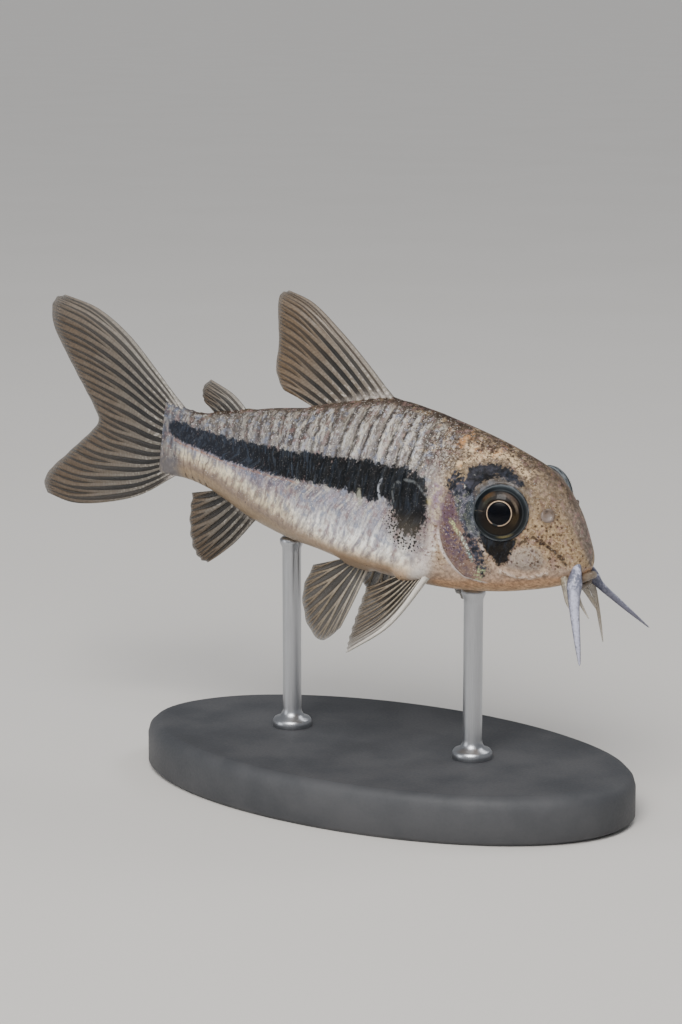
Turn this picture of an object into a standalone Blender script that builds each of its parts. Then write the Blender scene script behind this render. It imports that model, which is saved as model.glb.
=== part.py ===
"""A corydoras catfish with a dark flank stripe: a still, life-size model on a small display stand.

The fish is built nose forward along +X in its own frame, with the tip of the snout at the origin, and one
empty, fish_pose, then sets it over the stand. Its sizes are per cent of the standard length, the way fishes
are measured: station runs back from the tip of the snout to 100 at the root of the tail fin, side is out from
the midline, to the fish's left, and height is above the line between those two points. Sizes named in metres
are those of skin, rays, barbels, eyes and stand.
"""

import math

import bmesh
import bpy
import numpy as np
from mathutils import Matrix, Vector

STANDARD_LENGTH = 0.042
PER_CENT = STANDARD_LENGTH / 100
GAP = 0.0003

NOSE_DOWN = math.radians(7.8)
SNOUT_FORWARD = 0.0195
SNOUT_HEIGHT = 0.0215

# Each row: station, how far the belly lies behind the back on that section, height of the back, height of the
# belly, half width, height of the widest line, and the fullness of the section above and below that line.
SECTIONS = np.array([
    [0.0, 0.0, 0.0, 0.0, 0.0, 0.0, 2.0, 2.0],
    [0.4, 0.3, 2.0, -2.0, 2.3, 0.0, 2.0, 2.0],
    [2.4, 1.2, 5.5, -4.0, 4.2, 0.4, 2.0, 2.0],
    [6.0, 1.6, 10.9, -5.9, 6.3, 1.2, 2.0, 2.1],
    [11.5, 1.0, 15.8, -7.8, 8.8, 1.6, 2.0, 2.2],
    [17.5, -1.0, 18.1, -9.3, 10.3, 1.2, 1.95, 2.3],
    [23.5, -4.0, 19.7, -10.2, 11.6, 0.0, 1.9, 2.4],
    [30.0, -5.0, 20.8, -11.1, 12.6, -1.2, 1.85, 2.5],
    [38.0, -3.0, 21.7, -11.7, 12.9, -2.0, 1.75, 2.6],
    [47.5, 0.0, 21.8, -11.7, 12.3, -2.6, 1.7, 2.6],
    [57.0, 0.0, 19.0, -11.2, 10.8, -2.4, 1.75, 2.5],
    [66.0, 0.0, 16.0, -11.2, 9.0, -1.4, 1.8, 2.3],
    [77.0, 0.0, 13.3, -9.8, 6.6, 0.2, 1.9, 2.1],
    [88.0, 0.0, 9.8, -6.6, 4.6, 1.4, 2.0, 2.0],
    [95.0, 0.0, 8.5, -5.8, 3.3, 1.4, 2.0, 2.0],
    [99.5, 0.0, 8.9, -6.1, 1.7, 1.4, 2.2, 2.2],
])
AROUND = 40
HEAD_RINGS = 20

# The cuts between head, trunk and tail stem: station, height, and how much the foot of the cut leans forward.
HEAD_CUT = (29.0, 5.0, math.radians(11.5))
TAIL_CUT = (86.4, 1.5, 0.0)
CUT_MARGIN = 3.5

# The gill cover and the shoulder plate behind it are low plates on the skin: middle, then half sizes.
GILL_COVER = (21.0, 0.0, 9.4, 9.8)
SHOULDER_PLATE = (33.5, 2.0, 4.2, 8.0)
PLATE_RISE = 0.00022
PLATE_EDGE = 0.16

SCUTES = 22
FIRST_SCUTE = 36.0
LAST_SCUTE = 96.5
SCUTE_RISE = 0.00018
SCUTE_STEP = 0.4
LOWER_LEAN = 6.0
UPPER_LEAN = 2.6
UPPER_LEAN_FROM = 46.0
UPPER_LEAN_FULL = 64.0
ROW_OFFSET = 1.3
LATERAL_ANGLE = math.radians(72)
LATERAL_SEAM = 0.16
BARE_BACK = math.radians(10)
BARE_BELLY = math.radians(142)

# Places on the skin: the section's station, and the angle round it from the middle of the back. Each eye also
# has how far its middle stands off the skin; the left one shows over the forehead, so it stands higher.
EYES = {True: (15.1, math.radians(60), 0.0003), False: (15.6, math.radians(65), 0.0)}
EYE_RADIUS = 0.00225
EYE_THICKNESS = 0.0013
EYE_FORWARD = math.radians(22)
EYE_UP = math.radians(10)

NOSTRIL = (7.9, math.radians(49))
NOSTRIL_RADIUS = 0.00062
NOSTRIL_RISE = 0.00022
NOSTRIL_DEPTH = 0.0006

MOUTH_CORNER = (1.8, 3.4, -3.0)
LIP_RADIUS = 0.00038
MOUTH_OPENING = 0.00028

STUB_END = 0.36
LONG_BARBEL = 0.00055
LOWER_BARBEL = 0.00042
CHIN_BARBEL = 0.0003
BARBEL_TIP = 0.00015

# Each barbel: side, thickness at the root, then station, side and height of four places on it: where it
# starts in the head, where it leaves it, its middle and its tip.
BARBELS = {
    "upper_barbel_right": (
        -1, LONG_BARBEL, [(1.4, 2.4, 0.6), (0.4, 4.4, -3.1), (-0.8, 5.4, -7.4), (-3.9, 6.0, -17.7)],
    ),
    "upper_barbel_left": (
        1, LONG_BARBEL, [(2.2, 3.4, -1.2), (0.3, 5.1, -4.4), (-1.8, 9.8, -8.2), (-6.3, 16.3, -13.9)],
    ),
    "lower_barbel_right": (
        -1, LOWER_BARBEL, [(3.8, 3.0, -3.2), (1.9, 4.4, -4.8), (1.2, 4.8, -6.6), (0.4, 4.9, -8.4)],
    ),
    "lower_barbel_left": (
        1, LOWER_BARBEL, [(3.6, 2.6, -3.2), (1.5, 4.4, -5.0), (0.4, 6.0, -9.0), (-1.4, 7.2, -16.4)],
    ),
    "chin_barbel_right": (
        -1, CHIN_BARBEL, [(2.6, 1.4, -3.4), (1.1, 1.7, -5.2), (-0.2, 2.1, -7.0), (-2.6, 2.4, -9.4)],
    ),
    "chin_barbel_left": (
        1, CHIN_BARBEL, [(2.6, 1.4, -3.4), (1.1, 1.7, -5.2), (0.1, 2.5, -7.0), (-1.3, 3.2, -9.2)],
    ),
}

PECTORAL_ROOT = (29.0, 34.8, math.radians(114), math.radians(132))
PELVIC_ROOT = (45.8, 49.8, math.radians(163), math.radians(160))

MEMBRANE = 0.0005
RAY = 0.00075
SPINE = 0.001
RIM = 0.0004
FIN_ROWS = 9

STAND_SIZE = (0.046, 0.026, 0.004)
STAND_EDGE = 0.001
ROD_RADIUS = 0.0008
ROD_STATIONS = (24.5, 68.0)

FLESH = (0.55, 0.47, 0.38)
SILVER = (0.60, 0.58, 0.56)
FIN = (0.56, 0.50, 0.42)
BLACK = (0.015, 0.015, 0.02)
BARBEL = (0.66, 0.66, 0.74)
STEEL = (0.62, 0.63, 0.65)
SLATE = (0.07, 0.07, 0.075)


def clear_scene():
    for old in list(bpy.data.objects):
        bpy.data.objects.remove(old)


def new_collection(name, helper=False):
    made = bpy.data.collections.new(name)
    made.hide_render = helper
    bpy.context.scene.collection.children.link(made)
    return made


def material(name, colour, roughness, metallic=0.0):
    made = bpy.data.materials.new(name)
    made.use_nodes = True
    shader = made.node_tree.nodes["Principled BSDF"]
    shader.inputs["Base Color"].default_value = (*colour, 1.0)
    shader.inputs["Roughness"].default_value = roughness
    shader.inputs["Metallic"].default_value = metallic
    return made


def new_object(name, bm, finish, home, parent=None):
    mesh = bpy.data.meshes.new(name)
    bm.to_mesh(mesh)
    bm.free()
    if finish:
        mesh.materials.append(finish)
    made = bpy.data.objects.new(name, mesh)
    home.objects.link(made)
    made.parent = parent
    return made


def place(station, side, height):
    """A point of the fish, from its measures in per cent, in metres."""
    return Vector((-station, side, height)) * PER_CENT


def smooth_curve(points, share):
    """A point on a smooth curve through the given ones, at a share of the way from the first to the last."""
    points = np.asarray(points, float)
    if len(points) == 2:
        return points[0] + (points[1] - points[0]) * share
    last = len(points) - 1
    slopes = np.gradient(points, axis=0)
    spot = min(max(share, 0.0), 1.0) * last
    leg = min(int(spot), last - 1)
    return hermite(points[leg], points[leg + 1], slopes[leg], slopes[leg + 1], spot - leg)


def hermite(start, end, leave, arrive, t):
    return (
        (2 * t**3 - 3 * t**2 + 1) * start
        + (t**3 - 2 * t**2 + t) * leave
        + (3 * t**2 - 2 * t**3) * end
        + (t**3 - t**2) * arrive
    )


def section(station):
    """The body's section at a station. The root keeps the end of the snout round."""
    knots = np.sqrt(SECTIONS[:, 0])
    slopes = np.gradient(SECTIONS, knots, axis=0)
    spot = math.sqrt(max(station, 0.0))
    leg = int(np.clip(np.searchsorted(knots, spot, side="right") - 1, 0, len(knots) - 2))
    width = knots[leg + 1] - knots[leg]
    share = (spot - knots[leg]) / width
    return hermite(SECTIONS[leg], SECTIONS[leg + 1], width * slopes[leg], width * slopes[leg + 1], share)


def body_point(station, angle, rise=0.0):
    """A point of the body's surface. The angle runs from 0 on the back to pi on the belly, negative on the
    right side. rise lifts the point off the surface, in metres."""
    _, slant, back, belly, half_width, widest, above, below = section(station)
    up, out = math.cos(angle), abs(math.sin(angle))
    full, reach = (above, back - widest) if up > 0 else (below, widest - belly)
    side = math.copysign(half_width * out ** (2 / full), angle)
    height = widest + math.copysign(reach * abs(up) ** (2 / full), up)
    lean = slant * ((back + belly) / 2 - height) / max(back - belly, 1e-6)
    outward = Vector((0.0, math.copysign(out, angle), up))
    return place(station + lean, side, height) + outward * rise


def skin_point(station, angle, left, rise=0.0):
    """A point of a flank, lifted by rise, and the way out of the skin there."""
    turn = angle if left else -angle
    here = body_point(station, turn)
    along = body_point(station + 1, turn) - here
    around = body_point(station, turn + 0.05) - here
    outward = along.cross(around).normalized()
    if outward.y * turn < 0:
        outward = -outward
    return here + outward * rise, outward


def plate_share(station, height, plate):
    """How much of a low plate's rise shows at a place on the flank: all inside its oval, none outside."""
    middle, level, half_length, half_height = plate
    reach = math.hypot((station - middle) / half_length, (height - level) / half_height)
    return min(1.0, max(0.0, (1 - reach) / PLATE_EDGE))


def scute_share(angle):
    """How much of a scute's rise shows at an angle: none on the back, the flank's seam and the belly."""
    turn = abs(angle)
    upper = min((turn - BARE_BACK) / 0.3, (LATERAL_ANGLE - turn) / LATERAL_SEAM)
    lower = min((turn - LATERAL_ANGLE) / LATERAL_SEAM, (BARE_BELLY - turn) / 0.35)
    return max(0.0, min(1.0, max(upper, lower)))


def scute_lean(station, angle):
    """How far back a scute's rear edge runs at an angle, in per cent: the lower row is set half a scute
    behind the upper one and slants to the rear, and the upper row does so towards the back, on the rear half."""
    below = max(0.0, abs(angle) - LATERAL_ANGLE)
    rearward = min(1.0, max(0.0, (station - FIRST_SCUTE) / (LAST_SCUTE - FIRST_SCUTE)))
    slant = LOWER_LEAN * (1 - 0.6 * rearward) * math.sin(below / (math.pi - LATERAL_ANGLE) * math.pi / 2)
    above = max(0.0, LATERAL_ANGLE - abs(angle)) / LATERAL_ANGLE
    rear_half = min(1.0, max(0.0, (station - UPPER_LEAN_FROM) / (UPPER_LEAN_FULL - UPPER_LEAN_FROM)))
    upper = UPPER_LEAN * rear_half * math.sin(above * math.pi / 2)
    return slant + upper + ROW_OFFSET * min(1.0, below / LATERAL_SEAM)


def head_rings():
    """(station, lean, rise) for each ring of the head, closer together at the snout."""
    end = HEAD_CUT[0] + CUT_MARGIN
    return [(end * (n / HEAD_RINGS) ** 1.7, 0.0, 0.0) for n in range(1, HEAD_RINGS + 1)]


def trunk_rings():
    """(station, lean, rise) for each ring behind the head, two to a scute: its raised rear edge, and the step
    down."""
    start = HEAD_CUT[0] - CUT_MARGIN
    rings = [(start, 0.0, 0.0), (start + 3, 0.0, 0.0), (start + 5.5, 0.2, 0.0), (start + 8, 0.6, 0.0)]
    pitch = (LAST_SCUTE - FIRST_SCUTE) / (SCUTES - 1)
    for n in range(SCUTES):
        edge = FIRST_SCUTE + pitch * n
        upright = min(1.0, (SCUTES - 1 - n) / 4)
        rings += [(edge, upright, 1.0), (edge + SCUTE_STEP, upright, 0.0)]
    return rings + [(SECTIONS[-1][0], 0.0, 0.0)]


def loft(rings, snout=False):
    """The body's closed skin through the given rings, with its low plates and scutes raised on it."""
    bm = bmesh.new()
    count = len(rings) - (0 if snout else 1)
    bmesh.ops.create_grid(bm, x_segments=count, y_segments=AROUND, size=0.5)
    for vert in bm.verts:
        ring = round((vert.co.x + 0.5) * count)
        turn = (vert.co.y + 0.5) * 2 * math.pi - math.pi
        if snout and ring == 0:
            vert.co = body_point(0.0, turn)
            continue
        station, lean, rise = rings[ring - 1 if snout else ring]
        station += lean * scute_lean(station, turn)
        found = body_point(station, turn) / PER_CENT
        plates = max(plate_share(-found.x, found.z, plate) for plate in (GILL_COVER, SHOULDER_PLATE))
        vert.co = body_point(station, turn, PLATE_RISE * plates + SCUTE_RISE * rise * scute_share(turn))
    bmesh.ops.remove_doubles(bm, verts=bm.verts, dist=1e-7)
    return closed(bm)


def closed(bm):
    bmesh.ops.holes_fill(bm, edges=[e for e in bm.edges if e.is_boundary], sides=0)
    bmesh.ops.recalc_face_normals(bm, faces=bm.faces)
    return bm


def cut_body(bm, cut, behind):
    """Keeps what lies in front of a cut, or behind it, and closes the face that the cut leaves."""
    station, height, lean = cut
    normal = Vector((-math.cos(lean), 0.0, -math.sin(lean)))
    spot = place(station, 0.0, height) + normal * (GAP / 2 if behind else -GAP / 2)
    bmesh.ops.bisect_plane(
        bm,
        geom=[*bm.verts, *bm.edges, *bm.faces],
        dist=1e-7,
        plane_co=spot,
        plane_no=normal,
        clear_inner=behind,
        clear_outer=not behind,
    )
    return closed(bm)


def eye_frame(left):
    """Where an eye sits: its middle, and its axis out of the head as +Z."""
    station, angle, lift = EYES[left]
    spot, _ = skin_point(station, angle, left)
    side = 1 if left else -1
    axis = Vector((
        math.sin(EYE_FORWARD) * math.cos(EYE_UP),
        side * math.cos(EYE_FORWARD) * math.cos(EYE_UP),
        math.sin(EYE_UP),
    ))
    turn = axis.to_track_quat("Z", "Y").to_matrix().to_4x4()
    return Matrix.Translation(spot + axis * lift) @ turn


def eyeball(left, extra=0.0):
    bm = bmesh.new()
    bmesh.ops.create_uvsphere(bm, u_segments=24, v_segments=12, radius=1)
    squash = Matrix.Diagonal((EYE_RADIUS + extra, EYE_RADIUS + extra, EYE_THICKNESS + extra, 1))
    bmesh.ops.transform(bm, matrix=eye_frame(left) @ squash, verts=bm.verts)
    return bm


def on_skin(spot, axis, bm, size):
    """Scales a unit shape and sets it on the skin, its +Z along the axis."""
    turn = axis.to_track_quat("Z", "Y").to_matrix().to_4x4()
    matrix = Matrix.Translation(spot) @ turn @ Matrix.Diagonal((*size, 1))
    bmesh.ops.transform(bm, matrix=matrix, verts=bm.verts)
    return bm


def nostril_rim(left):
    bm = bmesh.new()
    bmesh.ops.create_uvsphere(bm, u_segments=16, v_segments=8, radius=1)
    return on_skin(*skin_point(*NOSTRIL, left), bm, (NOSTRIL_RADIUS, NOSTRIL_RADIUS, NOSTRIL_RISE))


def nostril_hole(left):
    bm = bmesh.new()
    bmesh.ops.create_cone(bm, cap_ends=True, segments=12, radius1=0.4, radius2=0.5, depth=2)
    return on_skin(*skin_point(*NOSTRIL, left), bm, (NOSTRIL_RADIUS, NOSTRIL_RADIUS, NOSTRIL_DEPTH))


def tube(points, radii, sides=8, rings=10, first=0.0, last=1.0):
    """A round, tapering tube with closed ends along part of a smooth curve through the given points, in
    metres. first and last are the shares of the curve where it starts and stops."""
    bm = bmesh.new()
    bmesh.ops.create_grid(bm, x_segments=rings, y_segments=sides, size=0.5)
    for vert in bm.verts:
        share = first + (vert.co.x + 0.5) * (last - first)
        turn = (vert.co.y + 0.5) * 2 * math.pi
        here = Vector(smooth_curve(points, share))
        behind = Vector(smooth_curve(points, max(0, share - 0.02)))
        ahead = (Vector(smooth_curve(points, min(1, share + 0.02))) - behind).normalized()
        across = ahead.cross(Vector((0.4, 0.9, 0.2))).normalized()
        radius = float(np.interp(share, np.linspace(0, 1, len(radii)), radii))
        vert.co = here + (across * math.cos(turn) + ahead.cross(across) * math.sin(turn)) * radius
    bmesh.ops.remove_doubles(bm, verts=bm.verts, dist=1e-7)
    return closed(bm)


def lip(front, level, radius):
    """A lip: a roll from one corner of the mouth to the other round the front of the snout."""
    station, side, height = MOUTH_CORNER
    points = [
        place(station + 0.6, -side, height),
        place((station + front) / 2 - 0.2, -side * 0.75, (height + level) / 2),
        place(front, 0, level),
        place((station + front) / 2 - 0.2, side * 0.75, (height + level) / 2),
        place(station + 0.6, side, height),
    ]
    return tube(points, [radius * 0.7, radius, radius, radius, radius * 0.7], sides=10, rings=16)


def mouth_slit():
    """The line of the mouth, a shallow flat cut that follows the lips."""
    bm = bmesh.new()
    bmesh.ops.create_uvsphere(bm, u_segments=20, v_segments=8, radius=1)
    station, side, height = MOUTH_CORNER
    size = Matrix.Diagonal((2.4 * PER_CENT, (side - 0.6) * PER_CENT, MOUTH_OPENING, 1))
    tip = Matrix.Rotation(math.radians(12), 4, "Y")
    spot = Matrix.Translation(place(station + 0.3, 0, height - 0.1))
    bmesh.ops.transform(bm, matrix=spot @ tip @ size, verts=bm.verts)
    return bm


def barbel(side, bends, radius, stub):
    """One barbel of the six, or the stub of flesh on the head that it goes on from after a thin gap. bends
    are where it starts inside the head, where it leaves the skin, its middle and its tip."""
    points = [place(station, side * out, height) for station, out, height in bends]
    radii = [radius, radius, radius * 0.7, BARBEL_TIP]
    step = (Vector(smooth_curve(points, STUB_END + 0.01)) - Vector(smooth_curve(points, STUB_END))).length
    if stub:
        return tube(points, radii, rings=4, last=STUB_END)
    return tube(points, radii, rings=10, first=STUB_END + 0.01 * GAP / step)


def apply_boolean(target, piece, operation):
    """Joins a piece to an object, or cuts it away, and removes the piece."""
    step = target.modifiers.new(operation.lower(), "BOOLEAN")
    step.operation = operation
    step.object = piece
    step.solver = "EXACT"
    bpy.context.view_layer.update()
    result = bpy.data.meshes.new_from_object(target.evaluated_get(bpy.context.evaluated_depsgraph_get()))
    target.modifiers.clear()
    target.data = result
    bpy.data.objects.remove(piece)


def keep_largest_surface(target):
    bm = bmesh.new()
    bm.from_mesh(target.data)
    bmesh.ops.remove_doubles(bm, verts=bm.verts, dist=1e-6)
    left_over = set(bm.verts)
    islands = []
    while left_over:
        island, edge_of = set(), [left_over.pop()]
        while edge_of:
            vert = edge_of.pop()
            island.add(vert)
            near = {e.other_vert(vert) for e in vert.link_edges} & left_over
            left_over -= near
            edge_of.extend(near)
        islands.append(island)
    islands.sort(key=len)
    for island in islands[:-1]:
        bmesh.ops.delete(bm, geom=list(island), context="VERTS")
    bm.to_mesh(target.data)
    bm.free()


def build_head(home, tools, fish, finish):
    front = cut_body(loft(head_rings(), snout=True), HEAD_CUT, behind=False)
    head = new_object("head", front, finish, home, fish)
    steps = [(lip(-0.5, -1.7, LIP_RADIUS), "UNION"), (lip(0.8, -4.0, LIP_RADIUS), "UNION")]
    steps += [(mouth_slit(), "DIFFERENCE")]
    steps += [(nostril_rim(left), "UNION") for left in (True, False)]
    steps += [(barbel(side, bends, radius, stub=True), "UNION") for side, radius, bends in BARBELS.values()]
    steps += [(eyeball(left, GAP), "DIFFERENCE") for left in (True, False)]
    steps += [(nostril_hole(left), "DIFFERENCE") for left in (True, False)]
    for bm, operation in steps:
        apply_boolean(head, new_object("head_tool", bm, None, tools, fish), operation)
    keep_largest_surface(head)
    for left, name in ((True, "eye_left"), (False, "eye_right")):
        new_object(name, eyeball(left), material(name + "_cornea", BLACK, 0.08), home, fish)


def build_body(home, fish, finish):
    trunk = cut_body(cut_body(loft(trunk_rings()), HEAD_CUT, behind=True), TAIL_CUT, behind=False)
    stem = cut_body(loft(trunk_rings()), TAIL_CUT, behind=True)
    new_object("trunk", trunk, finish, home, fish)
    new_object("tail_stem", stem, finish, home, fish)


def fin_sheet(root, tip, lead, trail, rays):
    """The middle sheet of a fin between its four edges: root and tip from the first ray to the last, lead and
    trail from root to tip. Rays fall on every other column, and a group holds how thick each point is."""
    bm = bmesh.new()
    columns = 2 * (rays - 1)
    bmesh.ops.create_grid(bm, x_segments=columns, y_segments=FIN_ROWS, size=0.5)
    thickness = bm.verts.layers.deform.verify()
    corners = [np.asarray(c, float) for c in (root[0], root[-1], tip[0], tip[-1])]
    for vert in bm.verts:
        across, out = vert.co.x + 0.5, vert.co.y + 0.5
        column = round(across * columns)
        spot = (
            (1 - out) * smooth_curve(root, across)
            + out * smooth_curve(tip, across)
            + (1 - across) * smooth_curve(lead, out)
            + across * smooth_curve(trail, out)
            - (1 - out) * ((1 - across) * corners[0] + across * corners[1])
            - out * ((1 - across) * corners[2] + across * corners[3])
        )
        vert.co = place(*spot)
        full = SPINE if column == 0 else RAY if column % 2 == 0 else MEMBRANE
        thin = RIM if column else MEMBRANE
        vert[thickness][0] = (full + (thin - full) * out**1.5) / SPINE
    bmesh.ops.triangulate(bm, faces=bm.faces)
    return bm


def build_fin(name, sheet, home, fish, finish):
    fin = new_object(name, sheet, finish, home, fish)
    fin.vertex_groups.new(name="thickness")
    skin = fin.modifiers.new("thickness", "SOLIDIFY")
    skin.thickness = SPINE
    skin.offset = 0
    skin.vertex_group = "thickness"
    skin.use_quality_normals = True
    return fin


def along_back(first, last, count=4, rise=GAP):
    """Points for a fin's root along the back, or along the belly when rise is negative."""
    row = 2 if rise > 0 else 3
    stations = np.linspace(first, last, count)
    return [(s, 0.0, section(s)[row] + rise / PER_CENT) for s in stations]


def flat(points):
    """Outline points of a fin on the midline, from station and height."""
    return [(station, 0.0, height) for station, height in points]


def build_middle_fins(home, fish, finish):
    clear = GAP
    root = along_back(46.6, 64.3, rise=clear)
    tip = flat([(75.6, 37.9), (77.0, 36.8), (77.0, 32.4), (76.7, 27.0), (76.3, 22.0), (73.6, 18.0)])
    lead = [root[0], *flat([(54.0, 26.8), (61.6, 32.1), (69.2, 36.5)]), tip[0]]
    build_fin("dorsal_fin", fin_sheet(root, tip, lead, [root[-1], tip[-1]], 10), home, fish, finish)

    root = along_back(81.2, 88.6, rise=clear)
    tip = flat([(92.0, 16.0), (93.5, 14.4), (93.6, 12.4), (92.7, 10.8)])
    lead = [root[0], *flat([(86.0, 14.1)]), tip[0]]
    build_fin("adipose_fin", fin_sheet(root, tip, lead, [root[-1], tip[-1]], 4), home, fish, finish)

    root = along_back(76.3, 86.2, rise=-clear)
    tip = flat([(87.6, -22.0), (90.2, -22.0), (92.0, -20.2), (92.9, -16.6), (93.7, -12.2), (93.9, -8.6)])
    lead = [root[0], *flat([(81.2, -15.7), (84.9, -19.6)]), tip[0]]
    build_fin("anal_fin", fin_sheet(root, tip, lead, [root[-1], tip[-1]], 8), home, fish, finish)

    start = SECTIONS[-1][0] + GAP / PER_CENT
    root = flat([(start, 8.6), (start, 4.0), (start, -1.2), (start, -5.8)])
    tip = flat([
        (132.2, 25.5), (134.2, 24.6), (134.8, 22.4), (133.6, 18.8), (130.8, 15.2), (128.0, 11.8),
        (125.2, 8.2), (122.4, 4.6), (120.3, 1.0), (122.0, -1.9), (125.0, -5.2), (128.2, -8.8),
        (131.2, -12.2), (132.4, -15.2), (131.2, -17.6),
    ])
    lead = [root[0], *flat([(106.0, 14.9), (114.3, 20.7), (123.0, 24.4)]), tip[0]]
    trail = [root[-1], *flat([(106.5, -12.0), (115.4, -15.9), (124.0, -18.1)]), tip[-1]]
    build_fin("caudal_fin", fin_sheet(root, tip, lead, trail, 15), home, fish, finish)


def fin_feet(root, left):
    """The line along a flank where a paired fin's root stands, clear of the skin, as measures in per cent."""
    first, last, start, end = root
    feet = []
    for share in (0.0, 0.5, 1.0):
        station, angle = first + (last - first) * share, start + (end - start) * share
        spot, _ = skin_point(station, angle, left, rise=GAP + MEMBRANE / 2)
        feet.append((-spot.x / PER_CENT, spot.y / PER_CENT, spot.z / PER_CENT))
    return feet


def build_paired_fins(home, fish, finish):
    """The pectorals, held down and out from behind the gill covers, and the pelvics under the dorsal fin."""
    for side, name in ((-1, "right"), (1, "left")):
        root = fin_feet(PECTORAL_ROOT, side > 0)
        tip = mirrored(side, [
            (37.1, 23.4, -22.9), (38.4, 21.0, -21.0), (39.8, 17.0, -17.2), (40.6, 13.4, -12.5),
        ])
        lead = [root[0], *mirrored(side, [(32.4, 15.9, -17.2)]), tip[0]]
        sheet = fin_sheet(root, tip, lead, [root[-1], tip[-1]], 9)
        build_fin(f"pectoral_fin_{name}", sheet, home, fish, finish)

        root = fin_feet(PELVIC_ROOT, side > 0)
        tip = mirrored(side, [
            (46.4, 11.5, -22.9), (49.8, 13.0, -26.0), (54.1, 12.2, -23.6), (57.0, 10.4, -18.0),
            (56.5, 8.6, -12.9),
        ])
        lead = [root[0], *mirrored(side, [(45.9, 8.4, -17.2)]), tip[0]]
        sheet = fin_sheet(root, tip, lead, [root[-1], tip[-1]], 7)
        build_fin(f"pelvic_fin_{name}", sheet, home, fish, finish)


def mirrored(side, points):
    return [(station, side * out, height) for station, out, height in points]


def build_barbels(home, fish, finish):
    for name, (side, radius, bends) in BARBELS.items():
        new_object(name, barbel(side, bends, radius, stub=False), finish, home, fish)


def build_stand(home, fish, finish_base, finish_rod):
    """A flat base with rounded corners and two rods that stop just under the throat and the belly."""
    length, width, height = STAND_SIZE
    bm = bmesh.new()
    bmesh.ops.create_cone(bm, cap_ends=True, segments=48, radius1=0.5, radius2=0.5, depth=1)
    size = Matrix.Diagonal((length, width, height, 1))
    bmesh.ops.transform(bm, matrix=Matrix.Translation((0, 0, height / 2)) @ size, verts=bm.verts)
    base = new_object("stand_base", bm, finish_base, home)
    edge = base.modifiers.new("edge", "BEVEL")
    edge.width = STAND_EDGE
    edge.segments = 2
    edge.limit_method = "ANGLE"
    bpy.context.view_layer.update()
    for name, station in zip(("stand_rod_front", "stand_rod_rear"), ROD_STATIONS):
        under = fish.matrix_world @ place(station, 0, section(station)[3])
        top, foot = under.z - GAP - ROD_RADIUS * math.tan(NOSE_DOWN), height + GAP
        bm = bmesh.new()
        bmesh.ops.create_cone(
            bm, cap_ends=True, segments=16, radius1=ROD_RADIUS, radius2=ROD_RADIUS, depth=top - foot
        )
        bmesh.ops.translate(bm, vec=(under.x, 0, (top + foot) / 2), verts=bm.verts)
        new_object(name, bm, finish_rod, home)


def main():
    clear_scene()
    home = new_collection("corydoras")
    tools = new_collection("cutters", helper=True)
    fish = bpy.data.objects.new("fish_pose", None)
    home.objects.link(fish)
    fish.location = (SNOUT_FORWARD, 0.0, SNOUT_HEIGHT)
    fish.rotation_euler = (0.0, NOSE_DOWN, 0.0)
    fin_finish = material("fin_membrane", FIN, 0.35)
    build_head(home, tools, fish, material("head_skin", FLESH, 0.35))
    build_body(home, fish, material("flank_scutes", SILVER, 0.3))
    build_middle_fins(home, fish, fin_finish)
    build_paired_fins(home, fish, fin_finish)
    build_barbels(home, fish, material("barbel_skin", BARBEL, 0.35))
    build_stand(home, fish, material("stand_slate", SLATE, 0.6), material("stand_steel", STEEL, 0.3, 1.0))


main()
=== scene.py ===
"""The corydoras catfish, dressed: armoured skin with its dark stripe and eye mask, clear rayed fins, glossy
eyes, fleshy barbels and a small display stand.

The fish is shaped in its own frame, as its solids are: the tip of the snout at the origin, nose along +X, and
sizes in per cent of the standard length. station runs back from the snout, side is out from the midline and
height is above it. POSE then sets it over the stand.
"""

import math

import bmesh
import bpy
import numpy as np
from mathutils import Matrix, Vector


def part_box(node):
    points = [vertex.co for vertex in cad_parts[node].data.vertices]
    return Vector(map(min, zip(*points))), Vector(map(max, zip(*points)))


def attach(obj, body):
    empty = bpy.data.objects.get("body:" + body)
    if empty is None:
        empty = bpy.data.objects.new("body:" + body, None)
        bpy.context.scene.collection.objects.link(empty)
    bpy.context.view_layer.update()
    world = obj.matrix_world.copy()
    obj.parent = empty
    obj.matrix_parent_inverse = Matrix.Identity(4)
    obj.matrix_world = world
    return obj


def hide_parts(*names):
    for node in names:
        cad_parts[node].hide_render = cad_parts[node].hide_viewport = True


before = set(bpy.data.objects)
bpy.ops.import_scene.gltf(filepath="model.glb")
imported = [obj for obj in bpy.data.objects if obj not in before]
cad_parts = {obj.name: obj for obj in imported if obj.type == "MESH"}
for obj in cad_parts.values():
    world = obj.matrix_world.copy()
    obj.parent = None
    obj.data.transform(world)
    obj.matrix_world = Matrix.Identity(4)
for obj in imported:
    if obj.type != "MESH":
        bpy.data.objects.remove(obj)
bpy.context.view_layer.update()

MM = 0.001
STANDARD_LENGTH = 0.042
PER_CENT = STANDARD_LENGTH / 100
SNOUT_PLACE = (0.0195, 0.0, 0.0215)
NOSE_DOWN = math.radians(7.8)
POSE = Matrix.Translation(SNOUT_PLACE) @ Matrix.Rotation(NOSE_DOWN, 4, "Y")

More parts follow.
